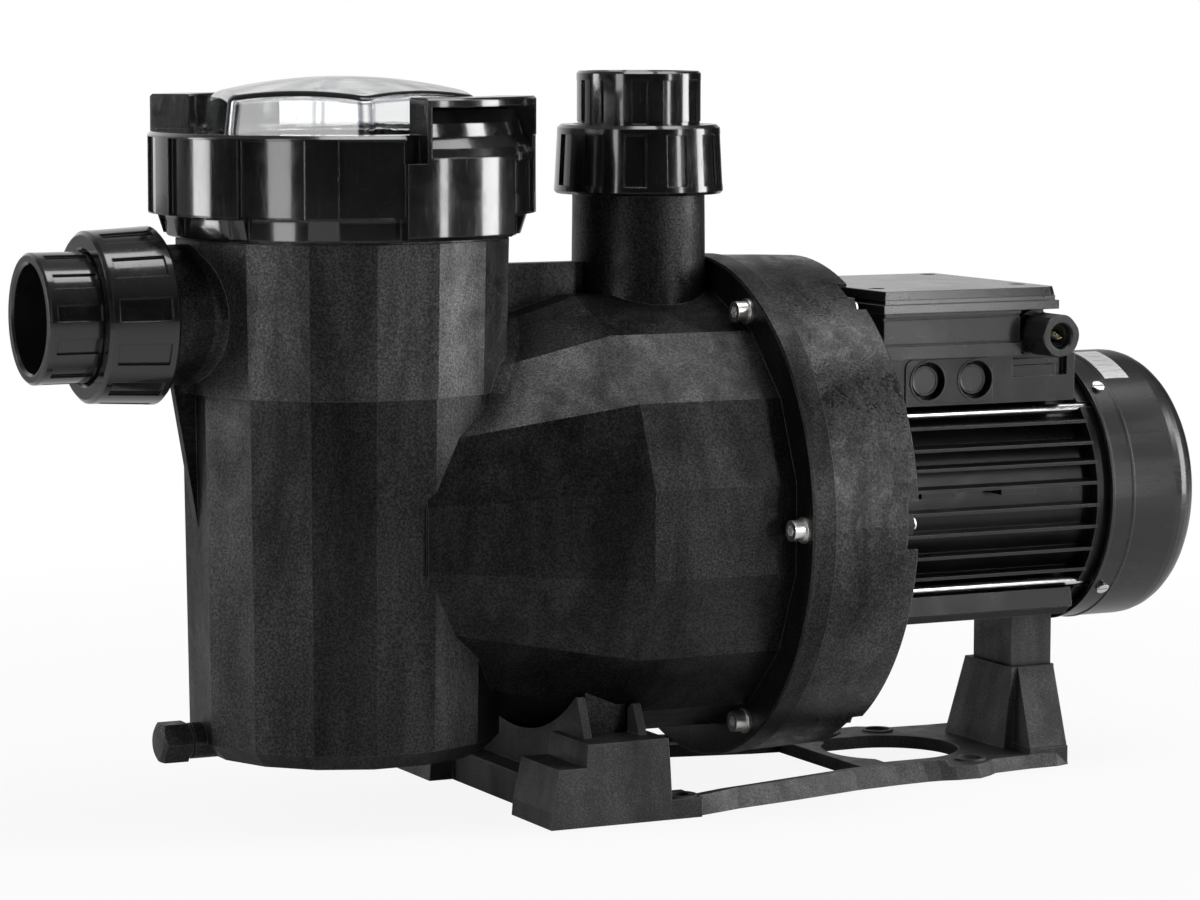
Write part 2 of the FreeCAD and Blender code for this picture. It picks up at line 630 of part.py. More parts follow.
def impeller_screw():
    head = hexagon(17.0, V(24.0, 0, SHAFT_Z), ALONG, 7.0)
    flange = rod(11.0, V(31.0, 0, SHAFT_Z), ALONG, 3.0)
    shank = rod(4.0, V(34.0, 0, SHAFT_Z), ALONG, 14.0)
    return fuse([head, flange, shank])


def seal_seat():
    return on_shaft([(FLANGE_X1, 9.0), (FLANGE_X1, 19.2), (67.0, 19.2), (67.0, 9.0)])


def seal_rotor():
    """Rotating half of the mechanical seal: carbon ring, bellows cup and spring coils."""
    ring = on_shaft([(57.0, SHAFT_R), (57.0, 15.0), (FLANGE_X1 - 0.05, 15.0), (FLANGE_X1 - 0.05, SHAFT_R)])
    cup = on_shaft([(52.0, SHAFT_R), (52.0, 17.0), (57.0, 17.0), (57.0, SHAFT_R)])
    return fuse([ring, cup])


def water_slinger():
    return on_shaft([(75.0, SHAFT_R), (75.0, 16.0), (76.6, 16.0), (78.0, 10.5), (81.0, 10.5),
                     (81.0, SHAFT_R)])


# ---------------------------------------------------------------- motor
def motor_shaft():
    """Stepped shaft: impeller end, bearing seats, rotor seat and fan end."""
    bore = 4.0
    return on_shaft([(36.0, bore), (36.0, SHAFT_R), (84.0, SHAFT_R), (84.0, 7.5 - RUN), (103.0, 7.5 - RUN),
                     (103.0, 10.0), (232.0, 10.0), (232.0, 7.5 - RUN), (250.0, 7.5 - RUN), (250.0, 6.5),
                     (282.0, 6.5), (282.0, 0.0), (48.0, 0.0), (48.0, bore)])


def rotor_core():
    core = on_shaft([(137.0, 10.0), (137.0, 28.2), (203.0, 28.2), (203.0, 10.0)])
    ends = [tube(26.0, 18.0, V(x, 0, SHAFT_Z), ALONG, 5.0) for x in (132.0, 203.0)]
    return fuse([core] + ends)


SLOTS = 24


def stator_core():
    core = tube(52.0, 28.7, V(137.0, 0, SHAFT_Z), ALONG, 66.0)
    slot = block(136.0, 204.0, -2.0, 2.0, SHAFT_Z + 31.0, SHAFT_Z + 45.0)
    return core.cut(group(around(slot, SHAFT_AT, ALONG, SLOTS)))


def stator_windings():
    bar = block(130.0, 210.0, -1.9, 1.9, SHAFT_Z + 31.1, SHAFT_Z + 44.9)
    ends = [tube(47.0, 30.5, V(x, 0, SHAFT_Z), ALONG, 15.0) for x in (121.5, 203.5)]
    return fuse(ends + around(bar, SHAFT_AT, ALONG, SLOTS))


def frame_fins():
    """Level cooling fins down both sides of the frame."""
    fins = []
    for height in FIN_HEIGHTS:
        tip = math.sqrt(MOTOR_R ** 2 - height ** 2)
        root = math.sqrt(FRAME_R ** 2 - height ** 2) - 1.5
        points = [V(FRAME_X0, -root, SHAFT_Z + height - 1.5), V(FRAME_X0, -tip, SHAFT_Z + height - 0.8),
                  V(FRAME_X0, -tip, SHAFT_Z + height + 0.8), V(FRAME_X0, -root, SHAFT_Z + height + 1.5)]
        fins += both_sides(plate(points, V(FRAME_X1 - FRAME_X0, 0, 0)))
    return fins


def fin_lugs():
    """Small cast pads on one side fin, two to a side."""
    lugs = []
    for x in (142.0, 188.0):
        lug = block(x, x + 20.0, -MOTOR_R + 0.4, -FRAME_R + 2.0, SHAFT_Z + 4.6, SHAFT_Z + 7.6)
        lugs += both_sides(lug)
    return lugs


def frame_top():
    """Pedestal that carries the terminal box, with a raised pad and rim round the knock-outs."""
    outer = block(118.0, 236.0, -PEDESTAL_Y, PEDESTAL_Y, 187.0, BOX_Z0)
    outline = [(137.5, 189.0), (137.5, 206.5), (138.6, 209.0), (141.0, 210.2),
               (184.0, 210.2), (186.4, 209.0), (187.5, 206.5), (187.5, 189.0)]
    pad = plate([V(x, -PEDESTAL_Y - 0.8, z) for x, z in outline], V(0, 6.8, 0))
    rims = [rod(KNOCKOUT_R + 0.8, V(x, -PEDESTAL_Y - 1.3, PLUG_Z), ACROSS, 4.0) for x in PLUG_PLACES]
    return [outer, pad] + rims


def pedestal_step():
    """Recess at the right of the pedestal, under the gland, with two low steps left in it."""
    recess = block(199.5, 231.5, -60.0, -52.0, 199.8, BOX_Z0 + 1)
    upper = block(199.0, 226.0, -54.8, -51.0, 205.7, 208.5)
    lower = block(199.0, 226.0, -54.2, -51.0, 199.0, 205.1)
    return recess.cut(group([upper, lower]))


def frame_bottom():
    """Flat foot pad under the frame."""
    x0 = FRAME_X0 + 2.0
    x1 = FRAME_X1 - 5.5
    half = [(-49.0, 90.8), (-50.5, 81.5), (-49.0, 81.0), (-48.5, POST_Z1)]
    points = [V(x0, y, z) for y, z in half] + [V(x0, -y, z) for y, z in reversed(half)]
    pad = plate(points, V(x1 - x0, 0, 0))
    corner = plate([V(x1 - 4.0, -60, POST_Z1 - 1), V(x1 + 1, -60, POST_Z1 - 1),
                    V(x1 + 1, -60, POST_Z1 + 5.0)],
                   V(0, 120.0, 0))
    return pad.cut(corner)


def rod_places(x):
    places = []
    for n in range(4):
        y, z = polar(45.0 + 90.0 * n, ROD_R)
        places.append(V(x, y, SHAFT_Z + z))
    return places


def motor_frame():
    barrel = rod(FRAME_R, V(FRAME_X0, 0, SHAFT_Z), ALONG, FRAME_X1 - FRAME_X0)
    frame = fuse([barrel, frame_bottom()] + frame_fins() + fin_lugs() + frame_top())
    cutters = [
        rod(52.0, V(FRAME_X0 - 1, 0, SHAFT_Z), ALONG, FRAME_X1 - FRAME_X0 + 2),
        block(124.0, 218.0, -48.0, 50.0, 196.5, BOX_Z0 + 1),
        pedestal_step(),
        block(150.0, 190.0, -18.0, 18.0, 185.0, 200.0),
        block(115.0, 235.0, -48.0, 48.0, 180.0, 187.4).cut(rod(FRAME_R, V(100.0, 0, SHAFT_Z), ALONG, 140.0)),
    ]
    for x in PLUG_PLACES:
        cutters.append(rod(KNOCKOUT_R, V(x, -60.0, PLUG_Z), ACROSS, 60.0 - KNOCKOUT_FLOOR_Y))
        cutters.append(rod(6.0, V(x, -60.0, PLUG_Z), ACROSS, 14.0))
    cutters += [rod(2.9, place, ALONG, 160.0) for place in rod_places(FRAME_X0 - 1)]
    cutters.append(rod(4.02, V(POST_SCREW_X, 0, POST_Z1 - 1), UP, 5.0))
    return frame.cut(group(cutters))


def bearing(x0):
    """Ball bearing 15 x 35 x 11: outer race, inner race and eight balls."""
    width = 11.0
    centre = V(x0, 0, SHAFT_Z)
    outer = tube(17.5, 14.6, centre, ALONG, width)
    inner = tube(10.4, 7.5, centre, ALONG, width)
    groove = torus(12.5, 2.6, centre + ALONG * (width / 2), ALONG)
    ball = Part.makeSphere(2.55, V(x0 + width / 2, 0, SHAFT_Z + 12.5))
    return group([outer.cut(groove), inner.cut(groove)] + around(ball, SHAFT_AT, ALONG, 8))


def front_end_shield():
    shield = on_shaft([(84.0, 17.5), (84.0, 82.8), (91.0, 82.8), (91.0, 66.0), (FRAME_X0, 66.0),
                       (FRAME_X0, 52.0), (FRAME_X0 + 4, 51.9), (FRAME_X0 + 4, 46.0), (95.0, 44.0),
                       (95.0, 23.0),
                       (98.0, 22.0), (98.0, 15.0), (95.0, 15.0), (95.0, 17.5)])
    cutters = [rod(2.6, place, ALONG, 20.0) for place in rod_places(82.0)]
    hole = rod(3.3, V(82.0, 0, SHAFT_Z + 77.0), ALONG, 14.0)
    return shield.cut(group(cutters + around(hole, SHAFT_AT, ALONG, 4, 45.0)))


def rear_end_shield():
    """Cover of the fan end, with four lugs that the cowl screws reach."""
    face = FRAME_X1
    shield = on_shaft([(face, 52.0), (face, 64.5), (face + 7.5, 64.5), (face + 7.5, 50.0), (248.5, 24.0),
                       (250.0, 22.0), (250.0, 12.0), (246.0, 12.0), (246.0, 17.5), (235.0, 17.5),
                       (235.0, 22.0),
                       (241.5, 22.0), (244.0, 46.0), (241.0, 46.0), (241.0, 51.9), (face, 51.9)])
    lug = block(face + 7.5, COWL_SCREW_X + 5.0, -5.0, 5.0, SHAFT_Z + 55.5, SHAFT_Z + 66.0)
    keep = on_shaft([(240, 0), (240, 66.3), (270, 66.3), (270, 0)])
    shield = fuse([shield] + [item.common(keep) for item in at_cowl_screws(lug)])
    cutters = [rod(2.9, place, ALONG, 14.0) for place in rod_places(240.0)]
    thread = rod(1.87, V(COWL_SCREW_X, 0, SHAFT_Z + 57.0), UP, 12.0)
    return shield.cut(group(cutters + at_cowl_screws(thread)))


def at_cowl_screws(shape):
    """Copies of a shape that stands at the top of the motor, one at each cowl screw."""
    turns = [90.0 - COWL_SCREW_TOP, COWL_SCREW_TOP - 90.0, 90.0 + COWL_SCREW_LOW, -90.0 - COWL_SCREW_LOW]
    return [spun(shape, SHAFT_AT, ALONG, turn) for turn in turns]


def tie_rods():
    """Long rods that clamp the end shields to the frame, with a head at the front."""
    rods = []
    for place in rod_places(0.0):
        bar = rod(2.5, place + ALONG * 82.0, ALONG, 169.0)
        head = hexagon(8.0, place + ALONG * 80.4, ALONG, 3.6)
        rods.append(fuse([bar, head]))
    return group(rods)


def motor_screws():
    screws = []
    screw = fuse([rod(3.0, V(72.5, 0, SHAFT_Z + 77.0), ALONG, 20.0),
                  rod(5.0, V(91.0, 0, SHAFT_Z + 77.0), ALONG, 6.0)])
    screws += around(screw, SHAFT_AT, ALONG, 4, 45.0)
    return group(screws)


def fan():
    hub = on_shaft([(266.0, 6.5), (266.0, 14.0), (284.0, 12.0), (284.0, 6.5)])
    disc = on_shaft([(272.0, 12.0), (272.0, 30.0), (268.5, 52.0), (270.5, 52.0), (274.5, 30.0),
                     (274.5, 12.0)])
    blade = block(269.5, 286.0, -1.0, 1.0, SHAFT_Z + 16.0, SHAFT_Z + 55.0)
    return fuse([hub, disc] + around(blade, SHAFT_AT, ALONG, 9))


def fan_cowl():
    """Cover over the fan: round-edged cup with a bead near its rim and an air grille behind."""
    wall = 1.8
    profile = [(COWL_X0, COWL_R), (COWL_X1 - COWL_ROUND, COWL_R)]
    steps = 8
    for n in range(1, steps + 1):
        dx, dr = polar(90.0 - 90.0 * n / steps, COWL_ROUND)
        profile.append((COWL_X1 - COWL_ROUND + dx, COWL_R - COWL_ROUND + dr))
    inner_round = COWL_ROUND - wall
    inside = [(COWL_X0, COWL_R - wall), (COWL_X1 - COWL_ROUND, COWL_R - wall)]
    for n in range(1, steps + 1):
        dx, dr = polar(90.0 - 90.0 * n / steps, inner_round)
        inside.append((COWL_X1 - COWL_ROUND + dx, COWL_R - COWL_ROUND + dr))
    outside = on_shaft(profile + [(COWL_X1, 0), (COWL_X0, 0)])
    hollow = on_shaft(inside + [(COWL_X1 - wall, 0), (COWL_X0, 0)])
    cowl = outside.cut(hollow)
    bead = on_shaft([(COWL_X0 + 11.6, COWL_R - 0.8), (COWL_X0 + 12.2, COWL_R + 0.5),
                     (COWL_X0 + 13.6, COWL_R + 0.5),
                     (COWL_X0 + 14.2, COWL_R - 0.8)])
    rim = on_shaft([(COWL_X0, COWL_R - 1.0), (COWL_X0, COWL_R + 0.5), (COWL_X0 + 1.6, COWL_R + 0.5),
                    (COWL_X0 + 2.0, COWL_R - 1.0)])
    cutters = []
    for radius, count in ((18.0, 12), (27.0, 18), (36.0, 24), (45.0, 30)):
        width = 6.6
        slot = block(COWL_X1 - 4.0, COWL_X1 + 1.0, -1.9, 1.9, SHAFT_Z + radius - width / 2,
                     SHAFT_Z + radius + width / 2)
        cutters += around(slot, SHAFT_AT, ALONG, count)
    cutters += at_cowl_screws(rod(2.0, V(COWL_SCREW_X, 0, SHAFT_Z + 64.0), UP, 8.0))
    return fuse([cowl, bead, rim]).cut(group(cutters))


def cowl_screws():
    screw = fuse([rod(1.85, V(COWL_SCREW_X, 0, SHAFT_Z + 59.0), UP, 10.5),
                  rod(3.3, V(COWL_SCREW_X, 0, SHAFT_Z + COWL_R + 0.1), UP, 1.7)])
    slot = block(COWL_SCREW_X - 4.0, COWL_SCREW_X + 4.0, -0.4, 0.4, SHAFT_Z + COWL_R + 1.1,
                 SHAFT_Z + COWL_R + 2.0)
    return group(at_cowl_screws(screw.cut(slot)))


# ---------------------------------------------------------------- terminal box
def terminal_box():
    """Square box with a notch at one near corner, where the cable gland stands."""
    near = -BOX_HALF_Y
    outer = block(BOX_X0, BOX_X1, near, BOX_HALF_Y, BOX_Z0, BOX_LID_Z)
    foot = block(BOX_X0, BOX_X1, near - 0.8, BOX_HALF_Y + 0.8, BOX_Z0, BOX_PANEL_Z[0] - 1.0)
    corner = block(GLAND_X - 13.5, BOX_X1 + 1, near - 2, -47.0, BOX_Z0 - 1, BOX_LID_Z + 1)
    shell = fuse([outer, foot]).cut(group([corner] + both_sides(box_side_recess())))
    inside = block(BOX_X0 + 3, BOX_X1 - 3, near + 3, BOX_HALF_Y - 3, BOX_Z0 + 3, BOX_LID_Z + 1)
    inside = inside.cut(block(GLAND_X - 16.5, BOX_X1 + 1, near, -44.0, BOX_Z0, BOX_LID_Z + 2))
    boss = rod(11.6, V(GLAND_X, -52.0, GLAND_Z), ACROSS, 12.0)
    boss = boss.common(block(180.0, BOX_X1, -70.0, -40.0, BOX_Z0, BOX_LID_Z))
    shell = fuse([shell.cut(inside), boss])
    posts = [rod(5.0, V(x, y, BOX_Z0), UP, BOX_LID_Z - BOX_Z0) for x, y in box_screw_places()]
    shell = fuse([shell] + posts)
    cutters = [rod(8.1, V(GLAND_X, -56.0, GLAND_Z), ACROSS, 20.0),
               block(150.0, 190.0, -5.0, 18.0, BOX_Z0 - 1, BOX_Z0 + 4)]
    cutters += [rod(1.97, V(x, y, BOX_LID_Z - 12.0), UP, 14.0) for x, y in box_screw_places()]
    return shell.cut(group(cutters))


def box_side_recess():
    """Shallow panel in the side of the box, with a deeper line above and below it."""
    low, high = BOX_PANEL_Z
    near = -BOX_HALF_Y
    panel = block(BOX_X0 - 1, BOX_X1 + 1, near - 2, near + 0.8, low, high)
    upper = block(BOX_X0 - 1, BOX_X1 + 1, near - 2, near + 1.6, high, high + 1.2)
    lower = block(BOX_X0 - 1, BOX_X1 + 1, near - 2, near + 1.6, low - 1.0, low)
    return fuse([panel, upper, lower])


def box_screw_places():
    """Lid screws; the two on the near side stand clear of the gland notch."""
    return [(x, y) for x in (BOX_X0 + 9.0, BOX_X1 - 9.0) for y in (-36.0, BOX_HALF_Y - 9.0)]


def terminal_lid():
    """Deep lid with a groove round its side and a chamfered corner."""
    x0 = BOX_X0 - 0.6
    x1 = BOX_X1 + 0.6
    half = BOX_HALF_Y + 1.0
    lower = block(x0, x1, -half + 0.6, half - 0.6, BOX_LID_Z, LID_GROOVE_Z)
    upper_z = LID_GROOVE_Z + LID_GROOVE_H
    neck = block(x0 + 1.4, x1 - 1.4, -half + 2.2, half - 2.2, LID_GROOVE_Z, upper_z)
    upper = loft([lid_outline(x0, x1, half, upper_z, 0.0), lid_outline(x0, x1, half, BOX_TOP_Z, 0.9)])
    lid = fuse([lower, neck, upper])
    hollow = block(BOX_X0 + 3, BOX_X1 - 3, -BOX_HALF_Y + 3, BOX_HALF_Y - 3, BOX_LID_Z - 1, BOX_TOP_Z - 3.0)
    posts = [rod(5.6, V(x, y, BOX_LID_Z), UP, BOX_TOP_Z - BOX_LID_Z - 2.0) for x, y in box_screw_places()]
    lid = fuse([lid.cut(hollow)] + posts)
    cutters = []
    for x, y in box_screw_places():
        cutters.append(rod(2.2, V(x, y, BOX_LID_Z - 1), UP, 20.0))
        cutters.append(rod(4.2, V(x, y, BOX_TOP_Z - 2.6), UP, 4.0))
    return lid.cut(group(cutters))


def lid_outline(x0, x1, half, z, inset):
    chamfer = 5.0
    points = [V(x0 + inset, -half + inset, z), V(x1 - inset - chamfer, -half + inset, z),
              V(x1 - inset, -half + inset + chamfer, z), V(x1 - inset, half - inset, z),
              V(x0 + inset, half - inset, z)]
    return Part.makePolygon(points + [points[0]])


def terminal_lid_screws():
    screws = []
    for x, y in box_screw_places():
        head = rod(3.8, V(x, y, BOX_TOP_Z - 2.6), UP, 2.2)
        cross = group([block(x - 2.2, x + 2.2, y - 0.4, y + 0.4, BOX_TOP_Z - 1.2, BOX_TOP_Z),
                       block(x - 0.4, x + 0.4, y - 2.2, y + 2.2, BOX_TOP_Z - 1.2, BOX_TOP_Z)])
        shank = rod(1.95, V(x, y, BOX_LID_Z - 9.0), UP, BOX_TOP_Z - BOX_LID_Z + 6.6)
        screws.append(fuse([head.cut(cross), shank]))
    return group(screws)


def terminal_block():
    """Six-way block with brass studs."""
    base = block(150.0, 192.0, -30.0, -8.0, BOX_Z0 + 3.0, BOX_Z0 + 10.0)
    walls = [block(150.0 + 13.3 * n, 151.6 + 13.3 * n, -30.0, -8.0, BOX_Z0 + 10.0,
                   BOX_Z0 + 15.0) for n in range(4)]
    studs = []
    for n in range(3):
        for y in (-24.5, -13.5):
            studs.append(rod(2.0, V(157.4 + 13.3 * n, y, BOX_Z0 + 10.0), UP, 8.0))
    return fuse([base] + walls + studs)


def capacitor():
    """Round motor capacitor lying in the terminal box."""
    can = rod(9.4, V(139.0, 40.0, BOX_Z0 + 13.0), ALONG, 56.0)
    nose = rod(6.5, V(195.0, 40.0, BOX_Z0 + 13.0), ALONG, 3.0)
    tabs = [block(198.0, 204.0, 36.0 + 6.4 * n, 37.0 + 6.4 * n, BOX_Z0 + 11.0,
                  BOX_Z0 + 15.0) for n in range(2)]
    return fuse([can, nose] + tabs)


def cable_gland():
    body = rod(8.0, V(GLAND_X, -62.0, GLAND_Z), ACROSS, 22.0)
    hexa = hexagon(19.0, V(GLAND_X, -56.0, GLAND_Z), ACROSS, 4.0)
    bore = rod(4.4, V(GLAND_X, -63.0, GLAND_Z), ACROSS, 26.0)
    return fuse([body, hexa]).cut(bore)


def gland_nut():
    """Hexagonal compression nut with round corners over the gland body, open at the front."""
    hexa = hexagon(20.0, V(GLAND_X, -56.0, GLAND_Z), NEAR, 20.6, 10.0)
    barrel = turned([(0.0, 0.0), (0.0, 10.7), (19.8, 10.7), (20.6, 10.1), (20.6, 0.0)],
                    V(GLAND_X, -56.0, GLAND_Z), NEAR)
    bore = turned([(-1.0, 0.0), (-1.0, 8.05), (7.0, 8.05), (7.0, 6.2), (19.6, 6.2), (21.0, 7.2), (21.0, 0.0)],
                  V(GLAND_X, -56.0, GLAND_Z), NEAR)
    return hexa.common(barrel).cut(bore)


def knockout_plugs():
    """Plain blanking plugs, sunk in the round knock-outs in the side of the pedestal."""
    plugs = []
    for x in PLUG_PLACES:
        floor = V(x, -KNOCKOUT_FLOOR_Y, PLUG_Z)
        head = turned([(0.0, 0.0), (0.0, 7.9), (2.5, 7.9), (3.1, 7.3), (3.1, 6.6), (2.8, 6.2), (2.8, 0.0)],
                      floor, NEAR)
        plugs.append(fuse([head, rod(5.9, floor, ACROSS, 2.6)]))
    return group(plugs)


def rating_label():
    """Thin blank plate wrapped on the cowl."""
    inner = COWL_R + 0.02
    outer = COWL_R + 0.32
    return sector([(266.0, inner), (266.0, outer), (280.5, outer), (280.5, inner)], SHAFT_AT, ALONG, -84.0,
                  27.5)


# ---------------------------------------------------------------- base
def front_block():
    """One stepped front foot, wider at the floor."""
    low = loft([quad(-72.4, 5.4, -92.0, -48.0, 0.0), quad(-71.8, -8.6, -91.7, -48.2, 8.0)])
    step = loft([quad(-71.8, -8.8, -91.7, -48.2, 8.0), quad(-67.6, -9.6, -90.9, -48.8, 28.0)])
    top = loft([quad(-53.4, -9.6, -90.9, -48.8, 28.0), quad(-52.6, -10.4, -90.5, -49.2, BLOCK_Z)])
    pocket = loft([quad(-67.0, -14.0, -87.0, -52.0, -1.0), quad(-63.0, -15.0, -86.0, -52.8, 23.0)])
    pocket_top = block(-47.0, -16.0, -85.0, -52.6, 20.0, PAD_Z - 4.0)
    tab = block(-10.0, 7.0, -92.0, -70.0, 0.0, RAIL_Z)
    seat = block(-43.0, -20.0, -67.0, -40.0, PAD_Z, BLOCK_Z + 1.0)
    solid = fuse([low, step, top, tab])
    return solid.cut(group([pocket, pocket_top, seat]))


def quad(x0, x1, y0, y1, z):
    points = [V(x0, y0, z), V(x1, y0, z), V(x1, y1, z), V(x0, y1, z)]
    return Part.makePolygon(points + [points[0]])


def side_rail():
    """Low rail from a front foot to the rear pedestal; its outer wall leans inwards."""
    outline = [(-12, -91.5, 1.0), (5, -90, 1.0), (33, -81.5, 4.0), (69, -74.5, 5.5), (108, -65.5, 6.0),
               (133, -62.6, 6.0), (150, -61.5, 6.0), (158, -62.0, 5.0), (166, -64.0, 4.5), (179, -64.5, 4.5),
               (187, -60.0, 5.0), (193, -55.5, 5.5), (214, -53.0, 4.5), (232, -52.5, 4.0), (239.4, -50, 4.0)]
    inner = [(239.4, -33), (196, -34), (162, -40), (133, -42), (108, -45), (69, -54), (33, -62), (5, -72),
             (-12, -74)]
    low = [(x, y) for x, y, lean in outline] + inner
    high = [(x, y + lean) for x, y, lean in outline] + inner
    rail = loft([level_wire(low, 0), level_wire(high, RAIL_Z)])
    lipped = [(x, y + lean + RAIL_LIP) for x, y, lean in outline if 0 < x < 160]
    flat = [(x, y + lean - RAIL_LIP) for x, y, lean in outline if x > 160]
    inside = [(245.0, 0.0), (4.0, 0.0)]
    top_cut = plate([V(x, y, PLATFORM_Z) for x, y in lipped + flat + inside], V(0, 0, RAIL_Z))
    return rail.cut(top_cut)


def eye_plate():
    """Flat web behind the cross bar, round the opening with its half-round end."""
    web = block(TIE_X0, 214.0, -46.0, 46.0, 0.0, PLATFORM_Z)
    middle = 198.6 - EYE_R
    opening = fuse([block(TIE_X1, middle, -EYE_R, EYE_R, -1.0, RAIL_Z),
                    rod(EYE_R, V(middle, 0, -1), UP, RAIL_Z)])
    return web.cut(opening)


def cradle_wall(x0, x1, tip_y, tip_z, foot_y):
    """Cross wall with a round seat for the casing and a horn at each end."""
    half = [(-50.0, 12.0), (-foot_y, 30.0), (-foot_y, BLOCK_Z), (-tip_y - 1.0, tip_z), (-tip_y + 3.0, tip_z)]
    points = [V(x0, y, z) for y, z in half] + [V(x0, -y, z) for y, z in reversed(half)]
    wall = plate(points, V(x1 - x0, 0, 0))
    seat = min(casing_radius(x1), CASING_R) + 0.3
    return wall.cut(rod(seat, V(x0 - 1, 0, SHAFT_Z), ALONG, x1 - x0 + 2))


def rear_pedestal():
    """Flared foot under the motor post: a wide slab, with a narrower block in front of it."""
    slab_low = [(217.5, -48.3), (240.0, -47.5), (249.5, -22.0), (249.5, 22.0), (240.0, 42.0), (226.0, 40.0)]
    slab_top = [(225.5, -23.0), (247.0, -23.0), (248.8, -20.5), (248.8, 20.5), (247.0, 23.0), (225.5, 23.0)]
    slab = loft([level_wire(slab_low, RAIL_Z), level_wire(slab_top, POST_Z0)])
    nose = loft([quad(214.0, 220.0, -29.0, 29.0, PLATFORM_Z), quad(222.0, 226.5, -22.6, 22.6, POST_Z0)])
    toe = block(205.0, 245.0, -36.0, 36.0, 0.0, PLATFORM_Z)
    heel = [(217.0, -49.5), (239.0, -50.0), (250.0, -21.5), (250.0, 21.5), (240.0, 43.0), (226.0, 41.0)]
    heel = plate([V(x, y, 0) for x, y in heel], V(0, 0, RAIL_Z))
    hollow = loft([quad(221.0, 243.0, -34.0, 34.0, -1.0), quad(226.4, 245.0, -17.0, 17.0, POST_Z0 - 5.0)])
    return fuse([slab, nose, toe, heel]), hollow


def level_wire(points, z):
    corners = [V(x, y, z) for x, y in points]
    return Part.makePolygon(corners + [corners[0]])


def base_frame():
    pedestal, pedestal_hollow = rear_pedestal()
    pieces = both_sides(front_block()) + both_sides(side_rail()) + [pedestal]
    pieces.append(block(-60.0, -57.0, -52.0, 52.0, 0.0, 14.0))
    pieces.append(eye_plate())
    pieces.append(cradle_wall(-47.5, -43.5, 67.0, 57.5, 76.0))
    pieces.append(cradle_wall(-19.5, -15.5, 70.0, 53.0, 78.0))
    pieces.append(block(-60.0, -15.5, -52.0, 52.0, 12.0, 16.0))
    front_holes = [V(HOLE_FRONT_X, y, 0) for y in (-HOLE_FRONT_Y, HOLE_FRONT_Y)]
    rear_holes = [V(HOLE_REAR_X, y, 0) for y in (-HOLE_REAR_Y, HOLE_REAR_Y)]
    pieces += [rod(8.4, place, UP, RAIL_Z + 0.4) for place in front_holes]
    pieces += [rod(8.2, place, UP, PLATFORM_Z + 0.9) for place in rear_holes]
    base = fuse(pieces).cut(pedestal_hollow)
    cutters = [rod(HOLE_R, place + DOWN, UP, RAIL_Z + 4) for place in front_holes + rear_holes]
    cutters += [rod(6.4, place + V(0, 0, PLATFORM_Z - 0.4), UP, 4.0) for place in rear_holes]
    cutters += [rod(4.2, V(PAD_SCREW_X, y, 28.0), UP, 12.0) for y in (-PAD_SCREW_Y, PAD_SCREW_Y)]
    cutters.append(rod(4.2, V(POST_SCREW_X, 0, POST_Z0 - 7.0), UP, 10.0))
    return base.cut(group(cutters))


def motor_post():
    """Block that carries the fan end of the motor."""
    outer = block(POST_X0, POST_X1, -POST_HALF_Y, POST_HALF_Y, POST_Z0, POST_Z1)
    hollow = block(POST_X0 + 3, POST_X1 - 3, -POST_HALF_Y + 3, -7.0, POST_Z0 - 1, POST_Z1 - 4)
    bore = rod(4.2, V(POST_SCREW_X, 0, POST_Z0 - 1), UP, POST_Z1)
    shield_room = rod(64.8, V(FRAME_X1 - 0.1, 0, SHAFT_Z), ALONG, 10.0)
    return outer.cut(group(both_sides(hollow) + [bore, shield_room]))


def base_screws():
    """Two screws up into the casing pads and one up through the post into the motor foot."""
    screws = []
    for y in (-PAD_SCREW_Y, PAD_SCREW_Y):
        head = hexagon(10.0, V(PAD_SCREW_X, y, PAD_Z - 9.4), UP, 5.4)
        screws.append(fuse([head, rod(4.0, V(PAD_SCREW_X, y, PAD_Z - 8.0), UP, 20.0)]))
    head = hexagon(13.0, V(POST_SCREW_X, 0, POST_Z0 - 10.4), UP, 5.4)
    screws.append(fuse([head, rod(4.0, V(POST_SCREW_X, 0, POST_Z0 - 9.0), UP, POST_Z1 - POST_Z0 + 12.0)]))
    return group(screws)


